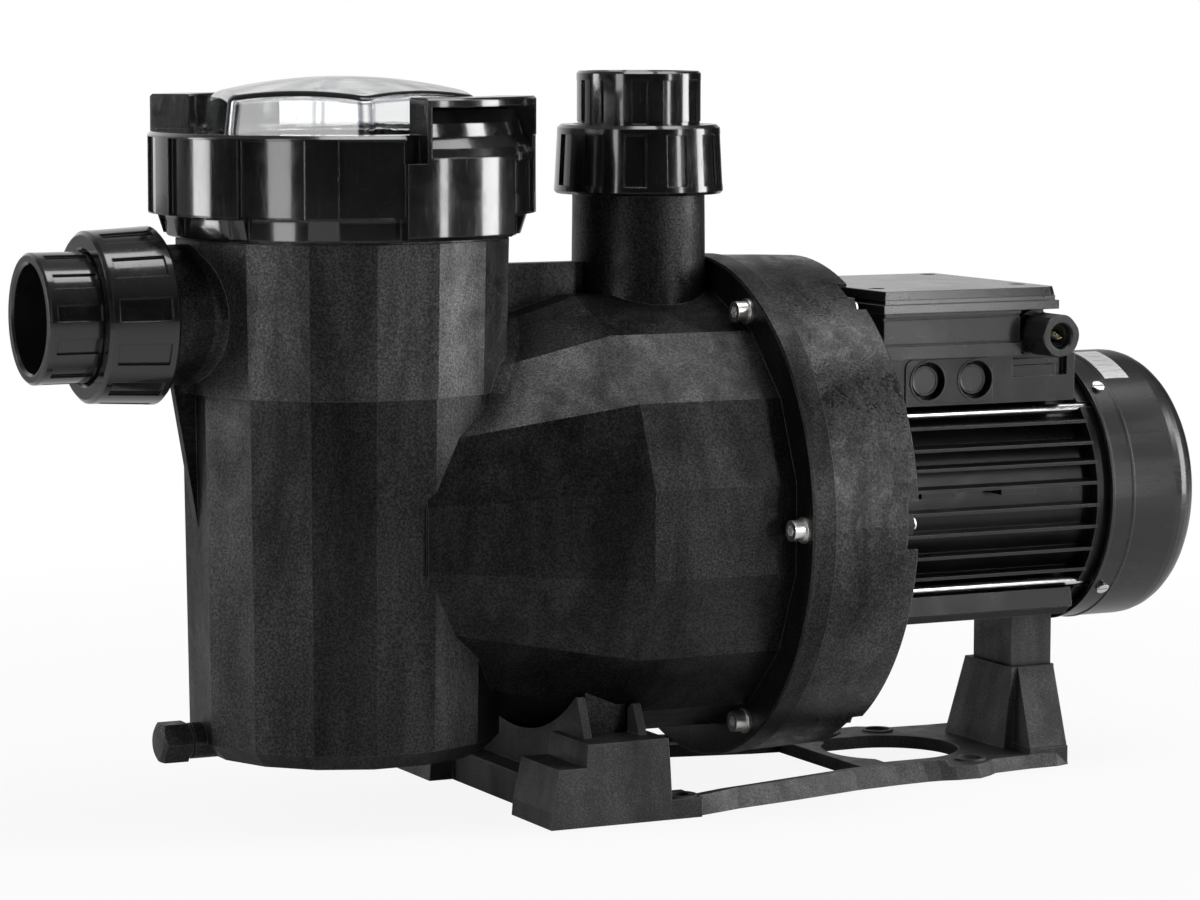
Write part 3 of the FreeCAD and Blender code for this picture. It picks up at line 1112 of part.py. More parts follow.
# ---------------------------------------------------------------- nodes
NODES = {
    "base_frame": base_frame,
    "motor_post": motor_post,
    "base_screws": base_screws,
    "pump_body": finished_body,
    "drain_plug": drain_plug,
    "drain_oring": drain_oring,
    "strainer_basket": strainer_basket,
    "lid_dome": lid_dome,
    "lid_oring": lid_oring,
    "lock_ring": lock_ring,
    "suction_tail": lambda: union_tail(SUCTION_AT, BACK, 8.0),
    "suction_nut": lambda: union_nut(SUCTION_AT, BACK, 8.0),
    "suction_oring": lambda: union_oring(SUCTION_AT, BACK),
    "discharge_tail": lambda: union_tail(DISCHARGE_AT, UP, -86.0),
    "discharge_nut": lambda: union_nut(DISCHARGE_AT, UP, -89.0),
    "discharge_oring": lambda: union_oring(DISCHARGE_AT, UP),
    "seal_housing": seal_housing,
    "body_oring": body_oring,
    "flange_screws": flange_screws,
    "flange_washers": flange_washers,
    "flange_nuts": flange_nuts,
    "diffuser": diffuser,
    "impeller": impeller,
    "impeller_screw": impeller_screw,
    "seal_seat": seal_seat,
    "seal_rotor": seal_rotor,
    "water_slinger": water_slinger,
    "motor_shaft": motor_shaft,
    "rotor_core": rotor_core,
    "stator_core": stator_core,
    "stator_windings": stator_windings,
    "motor_frame": motor_frame,
    "front_bearing": lambda: bearing(84.0),
    "rear_bearing": lambda: bearing(235.0),
    "front_end_shield": front_end_shield,
    "rear_end_shield": rear_end_shield,
    "tie_rods": tie_rods,
    "motor_screws": motor_screws,
    "fan": fan,
    "fan_cowl": fan_cowl,
    "cowl_screws": cowl_screws,
    "terminal_box": terminal_box,
    "terminal_lid": terminal_lid,
    "terminal_lid_screws": terminal_lid_screws,
    "terminal_block": terminal_block,
    "capacitor": capacitor,
    "cable_gland": cable_gland,
    "gland_nut": gland_nut,
    "knockout_plugs": knockout_plugs,
    "rating_label": rating_label,
}

os.makedirs("parts", exist_ok=True)
for name, make in NODES.items():
    shape = make()
    bad = [solid for solid in shape.Solids if not solid.isValid()]
    print(name, len(shape.Solids), "solids", round(shape.Volume / 1000.0, 1), "cm3", "INVALID" if bad else "")
    shape.exportStep("parts/" + name + ".step")
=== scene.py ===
"""Looks of a pool pump: materials, lights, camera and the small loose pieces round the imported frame.

Metres. +Z is up, +X runs along the shaft from the strainer pot to the fan, -Y is the near side.
"""

import math

import bmesh
import bpy
from mathutils import Matrix, Vector


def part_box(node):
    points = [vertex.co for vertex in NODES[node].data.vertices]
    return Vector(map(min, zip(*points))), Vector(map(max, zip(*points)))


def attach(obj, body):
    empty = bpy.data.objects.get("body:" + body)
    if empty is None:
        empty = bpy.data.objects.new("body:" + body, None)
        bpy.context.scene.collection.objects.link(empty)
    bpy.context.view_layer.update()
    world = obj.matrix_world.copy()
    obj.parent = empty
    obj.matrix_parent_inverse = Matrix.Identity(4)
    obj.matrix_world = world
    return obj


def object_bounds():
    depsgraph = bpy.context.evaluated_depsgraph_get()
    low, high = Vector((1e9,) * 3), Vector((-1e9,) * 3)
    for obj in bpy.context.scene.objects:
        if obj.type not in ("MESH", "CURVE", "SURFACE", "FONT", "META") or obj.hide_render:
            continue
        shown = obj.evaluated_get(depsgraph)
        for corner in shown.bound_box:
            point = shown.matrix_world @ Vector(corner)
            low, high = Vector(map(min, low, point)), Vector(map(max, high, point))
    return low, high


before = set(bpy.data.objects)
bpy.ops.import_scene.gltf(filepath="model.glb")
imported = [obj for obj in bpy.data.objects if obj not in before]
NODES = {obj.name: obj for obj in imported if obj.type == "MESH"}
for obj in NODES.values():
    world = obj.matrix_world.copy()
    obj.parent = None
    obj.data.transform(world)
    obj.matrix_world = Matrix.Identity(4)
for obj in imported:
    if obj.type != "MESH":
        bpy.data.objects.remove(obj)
CAD_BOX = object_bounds()
SCENE = bpy.context.scene
MM = 0.001
FINISHES = {}  # material of each finish, by its plain name

# from the model, in metres unless stated
POT_X = -0.138  # axis of the strainer pot
POT_R = 0.083  # radius that takes in the whole pot
DOME_FLAT_AT = -73.0  # heading of one flat of the lid dome, in degrees
DOME_FLATS = 6  # upright flats round the lid dome
POT_STEP_Z = 0.203  # the pot is coarser above its moulding line

CAMERA_PLACE = (-0.88898, -1.79256, 0.37768)
CAMERA_TURN = (26.3255, 6.0179, 0.1097)  # heading from +Y towards +X, downward pitch and roll, in degrees
LENS = 123.18  # mm
SENSOR_WIDTH = 36.0  # mm

FLOOR_HALF = 6.0  # from the middle to each side
FLOOR_DROP = 0.4 * MM  # the floor lies just under the feet
FLOOR_NEAR = 0.30  # the floor glows fully for the camera from FLOOR_FAR outwards
FLOOR_FAR = 0.95

# name, azimuth and elevation in degrees, distance, width, height, watts
SOFTBOXES = [
    ("right_box", -20.0, 14.0, 1.7, 0.46, 1.3, 19.0),
    ("front_box", -57.0, 12.0, 1.7, 0.17, 1.3, 6.5),
    ("left_box", -152.0, 16.0, 1.7, 0.40, 1.3, 7.5),
    ("back_left_box", 157.0, 14.0, 1.7, 0.38, 1.2, 11.0),
    ("top_box", -14.0, 62.0, 1.7, 0.7, 0.7, 6.0),
    ("roof_box", -100.0, 84.0, 1.6, 0.7, 0.6, 7.0),
]


# ---------------------------------------------------------------- node graph helpers
class Graph:
    """A material or world node tree with short calls for the nodes used here."""

    def __init__(self, owner):
        owner.use_nodes = True
        self.tree = owner.node_tree
        self.tree.nodes.clear()

    def add(self, kind, props=None, **inputs):
        """New node; an underscore stands for each space in an input's name."""
        node = self.tree.nodes.new(kind)
        for key, value in (props or {}).items():
            setattr(node, key, value)
        for key, value in inputs.items():
            self.put(node.inputs[key.replace("_", " ")], value)
        return node

    def put(self, socket, value):
        if isinstance(value, bpy.types.NodeSocket):
            self.tree.links.new(value, socket)
        else:
            socket.default_value = value

    def coords(self, stretch=(1.0, 1.0, 1.0), source="Object"):
        point = self.add("ShaderNodeTexCoord").outputs[source]
        if stretch == (1.0, 1.0, 1.0):
            return point
        return self.add("ShaderNodeMapping", Vector=point, Scale=stretch).outputs["Vector"]

    def noise(self, scale, detail=3.0, rough=0.55, twist=0.0, stretch=(1.0, 1.0, 1.0)):
        node = self.add("ShaderNodeTexNoise", Vector=self.coords(stretch), Scale=scale, Detail=detail,
                        Roughness=rough, Distortion=twist)
        return node.outputs["Fac"]

    def cells(self, scale):
        node = self.add("ShaderNodeTexVoronoi", Vector=self.coords(), Scale=scale)
        return node.outputs["Distance"]

    def spread(self, value, low, high, out_low, out_high):
        """Map low..high to out_low..out_high, held at the ends."""
        node = self.add("ShaderNodeMapRange")
        for name, item in (("Value", value), ("From Min", low), ("From Max", high),
                           ("To Min", out_low), ("To Max", out_high)):
            self.put(node.inputs[name], item)
        return node.outputs["Result"]

    def maths(self, operation, first, second):
        node = self.add("ShaderNodeMath", {"operation": operation})
        self.put(node.inputs[0], first)
        self.put(node.inputs[1], second)
        return node.outputs[0]

    def plus(self, first, second):
        return self.maths("ADD", first, second)

    def times(self, first, second):
        return self.maths("MULTIPLY", first, second)

    def larger(self, first, second):
        return self.maths("MAXIMUM", first, second)

    def vector(self, operation, first, second=None):
        node = self.add("ShaderNodeVectorMath", {"operation": operation})
        self.put(node.inputs[0], first)
        if second is not None:
            self.put(node.inputs[1], second)
        return node

    def blend(self, amount, first, second):
        """Mix of two colours: the first at amount 0, the second at 1."""
        node = self.add("ShaderNodeMix", {"data_type": "RGBA"})
        for socket in node.inputs:
            if socket.identifier == "Factor_Float":
                self.put(socket, amount)
            elif socket.identifier == "A_Color":
                self.put(socket, first)
            elif socket.identifier == "B_Color":
                self.put(socket, second)
        return [out for out in node.outputs if out.identifier == "Result_Color"][0]

    def mixed(self, amount, first, second):
        """Mix of two shaders: the first at amount 0, the second at 1."""
        node = self.add("ShaderNodeMixShader")
        for socket, item in zip(node.inputs, (amount, first, second)):
            self.put(socket, item)
        return node.outputs[0]

    def rounded(self, radius):
        """Surface normal with the model's sharp edges softened."""
        return self.add("ShaderNodeBevel", {"samples": 4}, Radius=radius).outputs["Normal"]

    def edge(self, normal, low=0.86, high=0.99):
        """1 on an edge, 0 on a flat face, from how far the softened normal leans."""
        flat = self.add("ShaderNodeNewGeometry").outputs["Normal"]
        lean = self.vector("DOT_PRODUCT", normal, flat).outputs["Value"]
        return self.spread(lean, low, high, 1.0, 0.0)

    def bump(self, height, distance, strength, normal):
        node = self.add("ShaderNodeBump", Height=height, Distance=distance, Strength=strength, Normal=normal)
        return node.outputs["Normal"]

    def surface(self, shader):
        out = self.add("ShaderNodeOutputMaterial")
        self.tree.links.new(shader, out.inputs["Surface"])


def grey(level, tint=0.0):
    """Grey with a slight warm (positive) or cool (negative) tint."""
    return (level * (1.0 + tint), level, level * (1.0 - tint), 1.0)


def new_graph(name):
    """Empty node tree of a new material, kept in FINISHES under its plain name."""
    FINISHES[name] = bpy.data.materials.new(name)
    return Graph(FINISHES[name])


def principled(graph, **inputs):
    """Output of a principled shader; an underscore stands for each space in an input's name."""
    node = graph.add("ShaderNodeBsdfPrincipled")
    for name, value in inputs.items():
        graph.put(node.inputs[name.replace("_", " ")], value)
    return node.outputs["BSDF"]


# ---------------------------------------------------------------- materials
def upright_zone(graph, height, axis_x, radius):
    """1 above a height and within a radius of the upright line at axis_x, otherwise 0."""
    point = graph.coords()
    above = graph.spread(graph.add("ShaderNodeSeparateXYZ", Vector=point).outputs["Z"],
                         height - 0.3 * MM, height + 0.3 * MM, 0.0, 1.0)
    from_line = graph.vector("SUBTRACT", point, (axis_x, 0.0, 0.0)).outputs["Vector"]
    flat = graph.vector("MULTIPLY", from_line, (1.0, 1.0, 0.0)).outputs["Vector"]
    reach = graph.vector("LENGTH", flat).outputs["Value"]
    near = graph.spread(reach, radius, radius + 1.0 * MM, 1.0, 0.0)
    return graph.times(above, near)


def moulded(name, dark, light, rough, grain, speckle=0.35, smudge=0.5, radius=0.45 * MM, edge_highlight_level=0.13,
            tint=0.02, shine_level=0.30, upper=None):
    """Matt glass-filled moulding: fine speckled grain, soft vertical smudges and thin edges lightened as a
    painted highlight.

    upper is (height, axis_x, radius): above that height and inside that radius of the upright line
    at axis_x the grain is coarser and shinier.
    """
    graph = new_graph(name)
    soft = graph.rounded(radius)
    pits = graph.noise(grain, detail=2.0, rough=0.7)
    fine = graph.cells(grain * 1.3)
    cloud = graph.noise(34.0, detail=6.0, rough=0.6, twist=0.35)
    wipe = graph.noise(30.0, detail=5.0, rough=0.6, twist=0.4, stretch=(1.0, 1.0, 0.24))
    patch = graph.noise(60.0, detail=4.0, rough=0.7, twist=0.5)
    tone = graph.spread(cloud, 0.36, 0.66, 0.0, 1.0)
    colour = graph.blend(tone, grey(dark, tint), grey(light, tint))
    speck = graph.spread(pits, 0.52, 0.68, 0.0, speckle)
    if upper:
        zone = upright_zone(graph, *upper)
        colour = graph.blend(graph.times(zone, 0.6), colour, grey(light * 1.3, tint))
        speck = graph.plus(speck, graph.times(graph.times(speck, zone), 0.9))
    colour = graph.blend(speck, colour, grey(light * 4.0, tint))
    dull = graph.spread(wipe, 0.40, 0.60, smudge, 0.0)
    colour = graph.blend(dull, colour, grey(dark * 0.5, tint))
    # painted highlight: the softened edges are lightened in colour
    painted_edge_highlight = graph.times(graph.edge(soft), graph.spread(cloud, 0.35, 0.6, 0.3, 1.0))
    colour = graph.blend(graph.times(painted_edge_highlight, 0.8), colour, grey(edge_highlight_level, tint))
    shine = graph.spread(patch, 0.40, 0.60, rough[0], rough[1])
    shine = graph.plus(shine, graph.spread(pits, 0.3, 0.7, -0.06, 0.06))
    if upper:
        shine = graph.plus(shine, graph.times(zone, 0.07))
    height = graph.plus(pits, graph.times(fine, 0.4))
    normal = graph.bump(height, 0.16 * MM, 0.6, soft)
    gleam = graph.spread(wipe, 0.38, 0.62, shine_level * 0.55, shine_level * 1.35)
    gleam = graph.times(gleam, graph.spread(pits, 0.40, 0.64, 0.6, 1.6))
    if upper:
        gleam = graph.times(gleam, graph.plus(graph.times(zone, 1.1), 1.0))
    shader = principled(graph, Base_Color=colour, Roughness=shine, Normal=normal, Specular_IOR_Level=gleam)
    graph.surface(shader)


def gloss(name, level, rough, ripple, radius=1.1 * MM, tint=-0.04, dust=0.10):
    """Polished black moulding: a faint ripple, hairline scuffs and a little dust."""
    graph = new_graph(name)
    soft = graph.rounded(radius)
    wave = graph.noise(ripple, detail=2.0, rough=0.5, twist=0.4)
    haze = graph.noise(38.0, detail=5.0, rough=0.65, twist=1.1)
    scuff = graph.noise(620.0, detail=2.0, rough=0.5, twist=0.2, stretch=(1.0, 1.0, 0.14))
    motes = graph.spread(graph.noise(1500.0, detail=1.0, rough=0.4), 0.70, 0.76, 0.0, dust)
    colour = graph.blend(graph.spread(haze, 0.35, 0.7, 0.0, 1.0), grey(level, tint), grey(level * 1.7, tint))
    colour = graph.blend(motes, colour, grey(0.22))
    shine = graph.spread(haze, 0.35, 0.68, rough[0], rough[1])
    shine = graph.plus(shine, graph.spread(scuff, 0.58, 0.74, 0.0, 0.10))
    normal = graph.bump(wave, 0.9 * MM, 0.16, soft)
    normal = graph.bump(scuff, 0.03 * MM, 0.2, normal)
    graph.surface(principled(graph, Base_Color=colour, Roughness=shine, Normal=normal, Coat_Weight=0.6,
                             Coat_Roughness=0.06))


def paint(name, level, rough, peel, radius=0.6 * MM, edge_highlight_grey=0.12, shine_level=0.5, streak=(1.0, 1.0, 1.0)):
    """Satin paint on cast or pressed metal, with orange peel and edges lightened as a painted highlight."""
    graph = new_graph(name)
    soft = graph.rounded(radius)
    skin = graph.noise(peel)
    haze = graph.noise(30.0, detail=5.0, rough=0.6, twist=0.9, stretch=streak)
    colour = graph.blend(graph.spread(haze, 0.3, 0.7, 0.0, 1.0), grey(level * 0.75), grey(level * 1.35))
    # painted highlight: the softened edges are lightened in colour
    colour = graph.blend(graph.times(graph.edge(soft), 0.7), colour, grey(edge_highlight_grey))
    shine = graph.spread(haze, 0.34, 0.68, rough[0], rough[1])
    normal = graph.bump(skin, 0.12 * MM, 0.35, soft)
    graph.surface(principled(graph, Base_Color=colour, Roughness=shine, Normal=normal,
                             Specular_IOR_Level=shine_level))


def bare_metal(name, level, rough, stretch, tint=0.0, lines=900.0):
    """Bright metal with drawn or turned lines along one direction."""
    graph = new_graph(name)
    soft = graph.rounded(0.35 * MM)
    drawn = graph.noise(lines, rough=0.6, stretch=stretch)
    stain = graph.noise(120.0, detail=5.0, rough=0.6, twist=1.2)
    stained = graph.spread(stain, 0.35, 0.7, 0.0, 1.0)
    colour = graph.blend(stained, grey(level, tint), grey(level * 0.72, tint))
    shine = graph.plus(graph.spread(stain, 0.3, 0.7, rough[0], rough[1]),
                       graph.spread(drawn, 0.3, 0.7, -0.04, 0.08))
    normal = graph.bump(drawn, 0.03 * MM, 0.35, soft)
    graph.surface(principled(graph, Base_Color=colour, Roughness=shine, Normal=normal, Metallic=1.0))


def painted_dome_bend_shade(graph, normal, first_flat, flats):
    """1 along the rounded corners and the rounded top edge of a many-sided dome, 0 on its flats and cap; the
    mask of the painted shade on the dome's bends.
    """
    part = graph.add("ShaderNodeSeparateXYZ", Vector=normal)
    heading = graph.maths("ARCTAN2", part.outputs["Y"], part.outputs["X"])
    turns = graph.times(graph.plus(heading, -math.radians(first_flat)), flats / (2.0 * math.pi))
    off_flat = graph.maths("PINGPONG", turns, 0.5)
    corner = graph.times(graph.spread(off_flat, 0.03, 0.10, 0.0, 1.0),
                         graph.spread(off_flat, 0.26, 0.40, 1.0, 0.0))
    corner = graph.times(corner, graph.spread(part.outputs["Z"], 0.45, 0.60, 1.0, 0.0))
    brow = graph.times(graph.spread(part.outputs["Z"], 0.20, 0.34, 0.0, 1.0),
                       graph.spread(part.outputs["Z"], 0.55, 0.80, 1.0, 0.0))
    return graph.larger(corner, graph.times(brow, 0.62))


def clear_plastic(name):
    """Clear polycarbonate, tinted dark with painted shade where it bends; light passes through it without a
    hard shadow.
    """
    graph = new_graph(name)
    haze = graph.noise(24.0, detail=4.0, rough=0.6, twist=0.8)
    smear = graph.noise(20.0, detail=4.0, rough=0.6, twist=0.6, stretch=(1.0, 1.0, 2.6))
    hair = graph.noise(900.0, detail=2.0, rough=0.5, stretch=(1.0, 0.12, 1.0))
    shine = graph.plus(graph.spread(haze, 0.3, 0.75, 0.0, 0.03), graph.spread(hair, 0.66, 0.8, 0.0, 0.04))
    soft = graph.rounded(0.8 * MM)
    normal = graph.bump(smear, 0.5 * MM, 0.14, soft)
    tone = graph.blend(graph.spread(smear, 0.56, 0.68, 0.0, 0.2), (0.995, 0.998, 1.0, 1.0),
                       (0.66, 0.70, 0.74, 1.0))
    # painted shade: the dome's rounded corners and top edge are tinted dark
    tone = graph.blend(graph.times(painted_dome_bend_shade(graph, soft, DOME_FLAT_AT, DOME_FLATS), 0.74), tone,
                       (0.12, 0.14, 0.17, 1.0))
    glass = principled(graph, Base_Color=tone, Roughness=shine, Normal=normal,
                       Transmission_Weight=1.0, IOR=1.50, Specular_IOR_Level=0.55)
    through = graph.add("ShaderNodeBsdfTransparent", Color=(0.93, 0.95, 0.96, 1.0)).outputs[0]
    ray = graph.add("ShaderNodeLightPath")
    unlit = graph.larger(ray.outputs["Is Shadow Ray"], ray.outputs["Is Diffuse Ray"])
    graph.surface(graph.mixed(unlit, glass, through))


def tinted(name, colour, rough, grain, depth, metal=0.0, sheen=0.0):
    """General small-part finish: one hue, with cloudy tone, fine grain and soft edges."""
    graph = new_graph(name)
    soft = graph.rounded(0.4 * MM)
    cloud = graph.noise(70.0, detail=5.0, rough=0.6, twist=0.8)
    fine = graph.noise(grain, detail=2.0, rough=0.5)
    low = tuple(channel * 0.78 for channel in colour[:3]) + (1.0,)
    shade = graph.blend(graph.spread(cloud, 0.3, 0.7, 0.0, 1.0), low, colour)
    shine = graph.spread(cloud, 0.3, 0.7, rough[0], rough[1])
    normal = graph.bump(fine, depth, 0.4, soft)
    graph.surface(principled(graph, Base_Color=shade, Roughness=shine, Normal=normal, Metallic=metal,
                             Sheen_Weight=sheen))


def plate_print(name):
    """Blank silver plate: brushed metal with plain ruled fields."""
    graph = new_graph(name)
    box = graph.add("ShaderNodeSeparateXYZ", Vector=graph.coords(source="Generated"))
    along = box.outputs["X"]
    round_way = box.outputs["Y"]
    rule = graph.maths("PINGPONG", round_way, 0.085)
    line = graph.spread(rule, 0.004, 0.012, 0.45, 0.0)
    inside = graph.spread(along, 0.16, 0.18, 0.0, 1.0)
    inside = graph.times(inside, graph.spread(along, 0.80, 0.82, 1.0, 0.0))
    field = graph.times(line, inside)
    brushed = graph.noise(1400.0, detail=2.0, rough=0.5, stretch=(0.08, 1.0, 1.0))
    colour = graph.blend(graph.spread(brushed, 0.3, 0.7, 0.0, 1.0), grey(0.74), grey(0.86))
    colour = graph.blend(field, colour, grey(0.18))
    shine = graph.spread(brushed, 0.3, 0.7, 0.26, 0.40)
    graph.surface(principled(graph, Base_Color=colour, Roughness=shine, Metallic=0.45,
                             Normal=graph.rounded(0.2 * MM)))


def material_table():
    """Finish for each CAD node; the nodes of one finish share one material."""
    moulded("pot_plastic", dark=0.0030, light=0.0055, rough=(0.32, 0.44), grain=900.0, speckle=0.28,
            upper=(POT_STEP_Z, POT_X, POT_R))
    moulded("housing_plastic", dark=0.0045, light=0.010, rough=(0.24, 0.42), grain=800.0, speckle=0.35,
            smudge=0.6, shine_level=0.46)
    moulded("base_plastic", dark=0.034, light=0.048, rough=(0.38, 0.50), grain=1100.0, speckle=0.12,
            smudge=0.4, radius=0.8 * MM, edge_highlight_level=0.16)
    moulded("plug_plastic", dark=0.008, light=0.014, rough=(0.42, 0.56), grain=1100.0, speckle=0.2,
            smudge=0.2, radius=0.5 * MM)
    moulded("wet_plastic", dark=0.02, light=0.03, rough=(0.35, 0.5), grain=900.0, speckle=0.2,
            smudge=0.2)
    gloss("ring_gloss", level=0.0045, rough=(0.10, 0.19), ripple=26.0)
    gloss("union_gloss", level=0.0050, rough=(0.12, 0.22), ripple=34.0, radius=0.9 * MM)
    paint("motor_paint", level=0.0065, rough=(0.26, 0.38), peel=700.0, radius=0.5 * MM, edge_highlight_grey=0.22,
          shine_level=0.32)
    paint("cowl_paint", level=0.012, rough=(0.22, 0.31), peel=420.0, radius=0.8 * MM, edge_highlight_grey=0.08,
          shine_level=0.48, streak=(0.25, 1.0, 1.0))
    paint("box_satin", level=0.013, rough=(0.22, 0.32), peel=1300.0, radius=0.7 * MM, edge_highlight_grey=0.14,
          shine_level=0.36)
    paint("lid_satin", level=0.014, rough=(0.08, 0.14), peel=1300.0, radius=0.7 * MM, edge_highlight_grey=0.10)
    bare_metal("stainless", level=0.86, rough=(0.26, 0.40), stretch=(0.3, 1.0, 1.0), tint=0.02)
    # painted shade: dark metal for the flange nuts, which sit in shadow in the drum's notches
    bare_metal("painted_shade_zinc", level=0.07, rough=(0.30, 0.42), stretch=(0.3, 1.0, 1.0))
    bare_metal("bright_zinc", level=0.82, rough=(0.10, 0.20), stretch=(0.02, 1.0, 1.0), tint=-0.01,
               lines=1100.0)
    bare_metal("ground_steel", level=0.55, rough=(0.16, 0.28), stretch=(1.0, 0.05, 0.05))
    bare_metal("sheet_steel", level=0.34, rough=(0.30, 0.46), stretch=(1.0, 0.1, 0.1), tint=0.0,
               lines=1500.0)
    clear_plastic("clear_cover")
    plate_print("blank_plate")
    tinted("seal_rubber", colour=(0.016, 0.016, 0.017, 1.0), rough=(0.45, 0.6), grain=1500.0,
           depth=0.06 * MM, metal=0.0, sheen=0.2)
    tinted("basket_white", colour=(0.74, 0.75, 0.74, 1.0), rough=(0.30, 0.42), grain=900.0,
           depth=0.05 * MM)
    tinted("ceramic", colour=(0.80, 0.79, 0.74, 1.0), rough=(0.12, 0.22), grain=1200.0, depth=0.02 * MM)
    tinted("carbon", colour=(0.03, 0.03, 0.035, 1.0), rough=(0.30, 0.42), grain=1200.0, depth=0.04 * MM)
    tinted("enamelled_copper", colour=(0.48, 0.19, 0.08, 1.0), rough=(0.22, 0.34), grain=700.0,
           depth=0.2 * MM, metal=0.85)
    tinted("block_beige", colour=(0.50, 0.44, 0.33, 1.0), rough=(0.40, 0.52), grain=1000.0,
           depth=0.05 * MM)
    tinted("capacitor_white", colour=(0.66, 0.66, 0.63, 1.0), rough=(0.28, 0.40), grain=900.0,
           depth=0.03 * MM)
    tinted("wire_copper", colour=(0.85, 0.55, 0.32, 1.0), rough=(0.20, 0.30), grain=1600.0,
           depth=0.03 * MM, metal=1.0)
    tinted("wire_sleeve", colour=(0.72, 0.68, 0.52, 1.0), rough=(0.35, 0.45), grain=1200.0,
           depth=0.02 * MM)
    return {
        "pot_plastic": ["pump_body"],
        "housing_plastic": ["seal_housing"],
        "base_plastic": ["base_frame", "motor_post"],
        "plug_plastic": ["drain_plug"],
        "wet_plastic": ["diffuser", "impeller", "impeller_screw", "fan"],
        "ring_gloss": ["lock_ring"],
        "union_gloss": ["suction_tail", "suction_nut", "discharge_tail", "discharge_nut"],
        "motor_paint": ["motor_frame", "front_end_shield", "rear_end_shield"],
        "cowl_paint": ["fan_cowl"],
        "lid_satin": ["terminal_lid"],
        "box_satin": ["terminal_box", "cable_gland", "gland_nut", "knockout_plugs"],
        "stainless": ["flange_screws", "flange_washers", "motor_screws", "base_screws"],
        # flange nuts: dark metal as painted shade
        "painted_shade_zinc": ["flange_nuts"],
        "bright_zinc": ["tie_rods", "cowl_screws", "terminal_lid_screws"],
        "ground_steel": ["motor_shaft", "front_bearing", "rear_bearing"],
        "sheet_steel": ["rotor_core", "stator_core"],
        "clear_cover": ["lid_dome"],
        "blank_plate": ["rating_label"],
        "seal_rubber": ["drain_oring", "lid_oring", "suction_oring", "discharge_oring", "body_oring",
                        "water_slinger"],
        "basket_white": ["strainer_basket"],
        "ceramic": ["seal_seat"],
        "carbon": ["seal_rotor"],
        "enamelled_copper": ["stator_windings"],
        "block_beige": ["terminal_block"],
        "capacitor_white": ["capacitor"],
    }


def dress(obj, finish_name):
    """Give a piece one finish in place of those it came with."""
    obj.data.materials.clear()
    obj.data.materials.append(FINISHES[finish_name])


for finish, names in material_table().items():
    for node_name in names:
        dress(NODES[node_name], finish)


# ---------------------------------------------------------------- loose pieces
def lathe(name, profile, centre, axis, sides, material):
    """Closed ring whose outline is (along, radius) points, turned round an axis."""
    mesh = bmesh.new()
    turn = Vector((0.0, 0.0, 1.0)).rotation_difference(Vector(axis)).to_matrix()
    rings = []
    for n in range(sides):
        angle = 2.0 * math.pi * n / sides
        ring = []
        for along, radius in profile:
            point = Vector((radius * math.cos(angle), radius * math.sin(angle), along))
            ring.append(mesh.verts.new(Vector(centre) + turn @ point))
        rings.append(ring)
    count = len(profile)
    for n in range(sides):
        here, there = rings[n], rings[(n + 1) % sides]
        for k in range(count):
            mesh.faces.new((here[k], here[(k + 1) % count], there[(k + 1) % count], there[k]))
    return finish_mesh(mesh, name, material)


def strand(name, points, radius, sides, material):
    """Round bar along a bent line, with domed ends."""
    mesh = bmesh.new()
    path = [Vector(point) for point in points]
    rings = []
    for n, point in enumerate(path):
        ahead = (path[min(n + 1, len(path) - 1)] - path[max(n - 1, 0)]).normalized()
        side = ahead.cross(Vector((0.0, 0.0, 1.0))).normalized()
        over = side.cross(ahead)
        for shift, scale in end_steps(n, len(path)):
            ring = []
            for k in range(sides):
                angle = 2.0 * math.pi * k / sides
                spoke = side * math.cos(angle) + over * math.sin(angle)
                ring.append(mesh.verts.new(point + ahead * shift * radius + spoke * radius * scale))
            rings.append(ring)
    for here, there in zip(rings, rings[1:]):
        for k in range(sides):
            mesh.faces.new((here[k], here[(k + 1) % sides], there[(k + 1) % sides], there[k]))
    mesh.faces.new(list(reversed(rings[0])))
    mesh.faces.new(rings[-1])
    return finish_mesh(mesh, name, material)


def end_steps(n, count):
    """(shift, scale) of the rings at one point of a strand: several at an end, to round it."""
    dome = [(-0.92, 0.35), (-0.6, 0.78), (0.0, 1.0)]
    if n == 0:
        return dome
    if n == count - 1:
        return [(-shift, scale) for shift, scale in reversed(dome)]
    return [(0.0, 1.0)]


def finish_mesh(mesh, name, material):
    """Smooth, dressed object made from a bmesh, which is freed."""
    bmesh.ops.recalc_face_normals(mesh, faces=mesh.faces)
    data = bpy.data.meshes.new(name)
    mesh.to_mesh(data)
    mesh.free()
    for face in data.polygons:
        face.use_smooth = True
    obj = bpy.data.objects.new(name, data)
    SCENE.collection.objects.link(obj)
    dress(obj, material)
    return obj


def gland_details():
    """Rubber sleeve in the cable gland, with two stripped supply wires just inside its mouth."""
    low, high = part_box("gland_nut")
    centre_x = (low[0] + high[0]) / 2.0
    centre_z = (low[2] + high[2]) / 2.0
    mouth = low[1]
    cone = [(5.0 * MM, 6.0 * MM), (5.4 * MM, 5.5 * MM), (9.0 * MM, 4.2 * MM), (15.0 * MM, 4.0 * MM),
            (15.0 * MM, 6.0 * MM)]
    sleeve = lathe("gland_sleeve", cone, (centre_x, mouth, centre_z), (0.0, 1.0, 0.0), 40, "seal_rubber")
    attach(sleeve, "root")
    for n, (side, rise) in enumerate(((-1.3, 0.8), (1.2, -0.9))):
        x = centre_x + side * MM
        z = centre_z + rise * MM
        bare = [(x, mouth + 3.0 * MM, z), (x + 0.2 * MM, mouth + 5.0 * MM, z), (x, mouth + 8.0 * MM, z)]
        covered = [(x, mouth + 5.0 * MM, z), (x, mouth + 12.0 * MM, z), (x, mouth + 30.0 * MM, z)]
        core = strand("supply_wire_core_%d" % (n + 1), bare, 0.7 * MM, 12, "wire_copper")
        cover = strand("supply_wire_sleeve_%d" % (n + 1), covered, 1.2 * MM, 14, "wire_sleeve")
        for piece in (core, cover):
            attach(piece, "root")


gland_details()


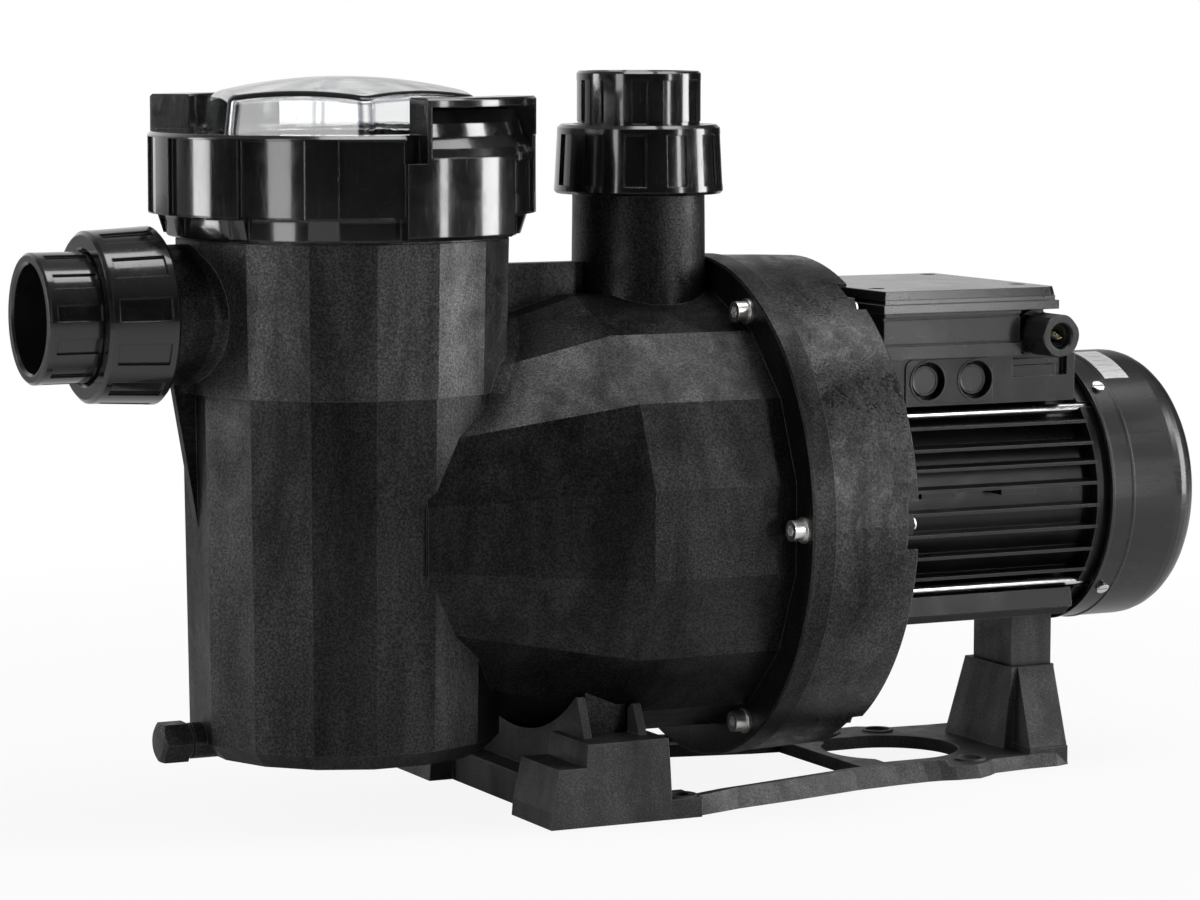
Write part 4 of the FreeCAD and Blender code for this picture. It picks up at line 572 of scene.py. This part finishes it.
# ---------------------------------------------------------------- floor, light and camera
def pale_floor():
    """Plain pale floor; the camera sees it almost white, and a soft shadow close to the feet."""
    mesh = bmesh.new()
    corners = [(-FLOOR_HALF, -FLOOR_HALF, 0.0), (FLOOR_HALF, -FLOOR_HALF, 0.0),
               (FLOOR_HALF, FLOOR_HALF, 0.0), (-FLOOR_HALF, FLOOR_HALF, 0.0)]
    mesh.faces.new([mesh.verts.new(corner) for corner in corners])
    graph = new_graph("floor_white")
    tone = graph.spread(graph.noise(3.0, detail=4.0, rough=0.5), 0.3, 0.7, 0.88, 0.92)
    matt = principled(graph, Base_Color=graph.blend(tone, grey(0.62), grey(0.69)), Roughness=0.75)
    glow = graph.add("ShaderNodeEmission", Color=grey(1.0), Strength=1.0).outputs[0]
    ray = graph.add("ShaderNodeLightPath").outputs["Is Camera Ray"]
    reach = graph.vector("LENGTH", graph.coords()).outputs["Value"]
    fade = graph.spread(reach, FLOOR_NEAR, FLOOR_FAR, 0.90, 1.0)
    graph.surface(graph.mixed(graph.times(ray, fade), matt, glow))
    floor = finish_mesh(mesh, "floor", "floor_white")
    floor.location.z = -FLOOR_DROP


def studio_world():
    """White behind the object, dim in front, with a soft ceiling; plain white to the camera and
    through clear plastic.
    """
    world = bpy.data.worlds.new("studio")
    SCENE.world = world
    graph = Graph(world)
    way = graph.add("ShaderNodeSeparateXYZ", Vector=graph.coords(source="Generated"))
    back = graph.spread(way.outputs["Y"], 0.62, 0.95, 0.012, 0.85)
    ceiling = graph.spread(way.outputs["Z"], 0.35, 1.0, 0.0, 0.30)
    level = graph.plus(back, ceiling)
    ray = graph.add("ShaderNodeLightPath")
    seen = graph.larger(ray.outputs["Is Camera Ray"], ray.outputs["Is Transmission Ray"])
    level = graph.larger(level, seen)
    sky = graph.add("ShaderNodeBackground", Color=grey(1.0), Strength=level)
    out = graph.add("ShaderNodeOutputWorld")
    graph.tree.links.new(sky.outputs[0], out.inputs["Surface"])


def softbox(name, azimuth, elevation, distance, width, height, watts):
    """Area light aimed at the middle of the object; azimuth is from +X towards +Y."""
    light = bpy.data.lights.new(name, "AREA")
    light.shape = "RECTANGLE"
    light.size = width
    light.size_y = height
    light.energy = watts
    lamp = bpy.data.objects.new(name, light)
    SCENE.collection.objects.link(lamp)
    turn, lift = math.radians(azimuth), math.radians(elevation)
    away = Vector((math.cos(turn) * math.cos(lift), math.sin(turn) * math.cos(lift), math.sin(lift)))
    lamp.location = MIDDLE + away * distance
    lamp.rotation_euler = (-away).to_track_quat("-Z", "Y").to_euler()
    lamp.visible_camera = False


def camera():
    """Long lens a little above the pump, looking from the pot end of its near side."""
    data = bpy.data.cameras.new("camera")
    data.sensor_width = SENSOR_WIDTH
    data.lens = LENS
    data.clip_start = 0.05
    data.clip_end = 30.0
    view = bpy.data.objects.new("camera", data)
    SCENE.collection.objects.link(view)
    yaw, pitch, roll = (math.radians(value) for value in CAMERA_TURN)
    ahead = Vector((math.sin(yaw) * math.cos(pitch), math.cos(yaw) * math.cos(pitch), -math.sin(pitch)))
    right = ahead.cross(Vector((0.0, 0.0, 1.0))).normalized()
    up = right.cross(ahead)
    tilted = right * math.cos(roll) + up * math.sin(roll)
    upright = up * math.cos(roll) - right * math.sin(roll)
    place = Matrix((tilted, upright, -ahead)).transposed().to_4x4()
    place.translation = Vector(CAMERA_PLACE)
    view.matrix_world = place
    SCENE.camera = view


MIDDLE = (Vector(CAD_BOX[0]) + Vector(CAD_BOX[1])) / 2.0
pale_floor()
studio_world()
for row in SOFTBOXES:
    softbox(*row)
camera()
SCENE.view_settings.view_transform = "Standard"
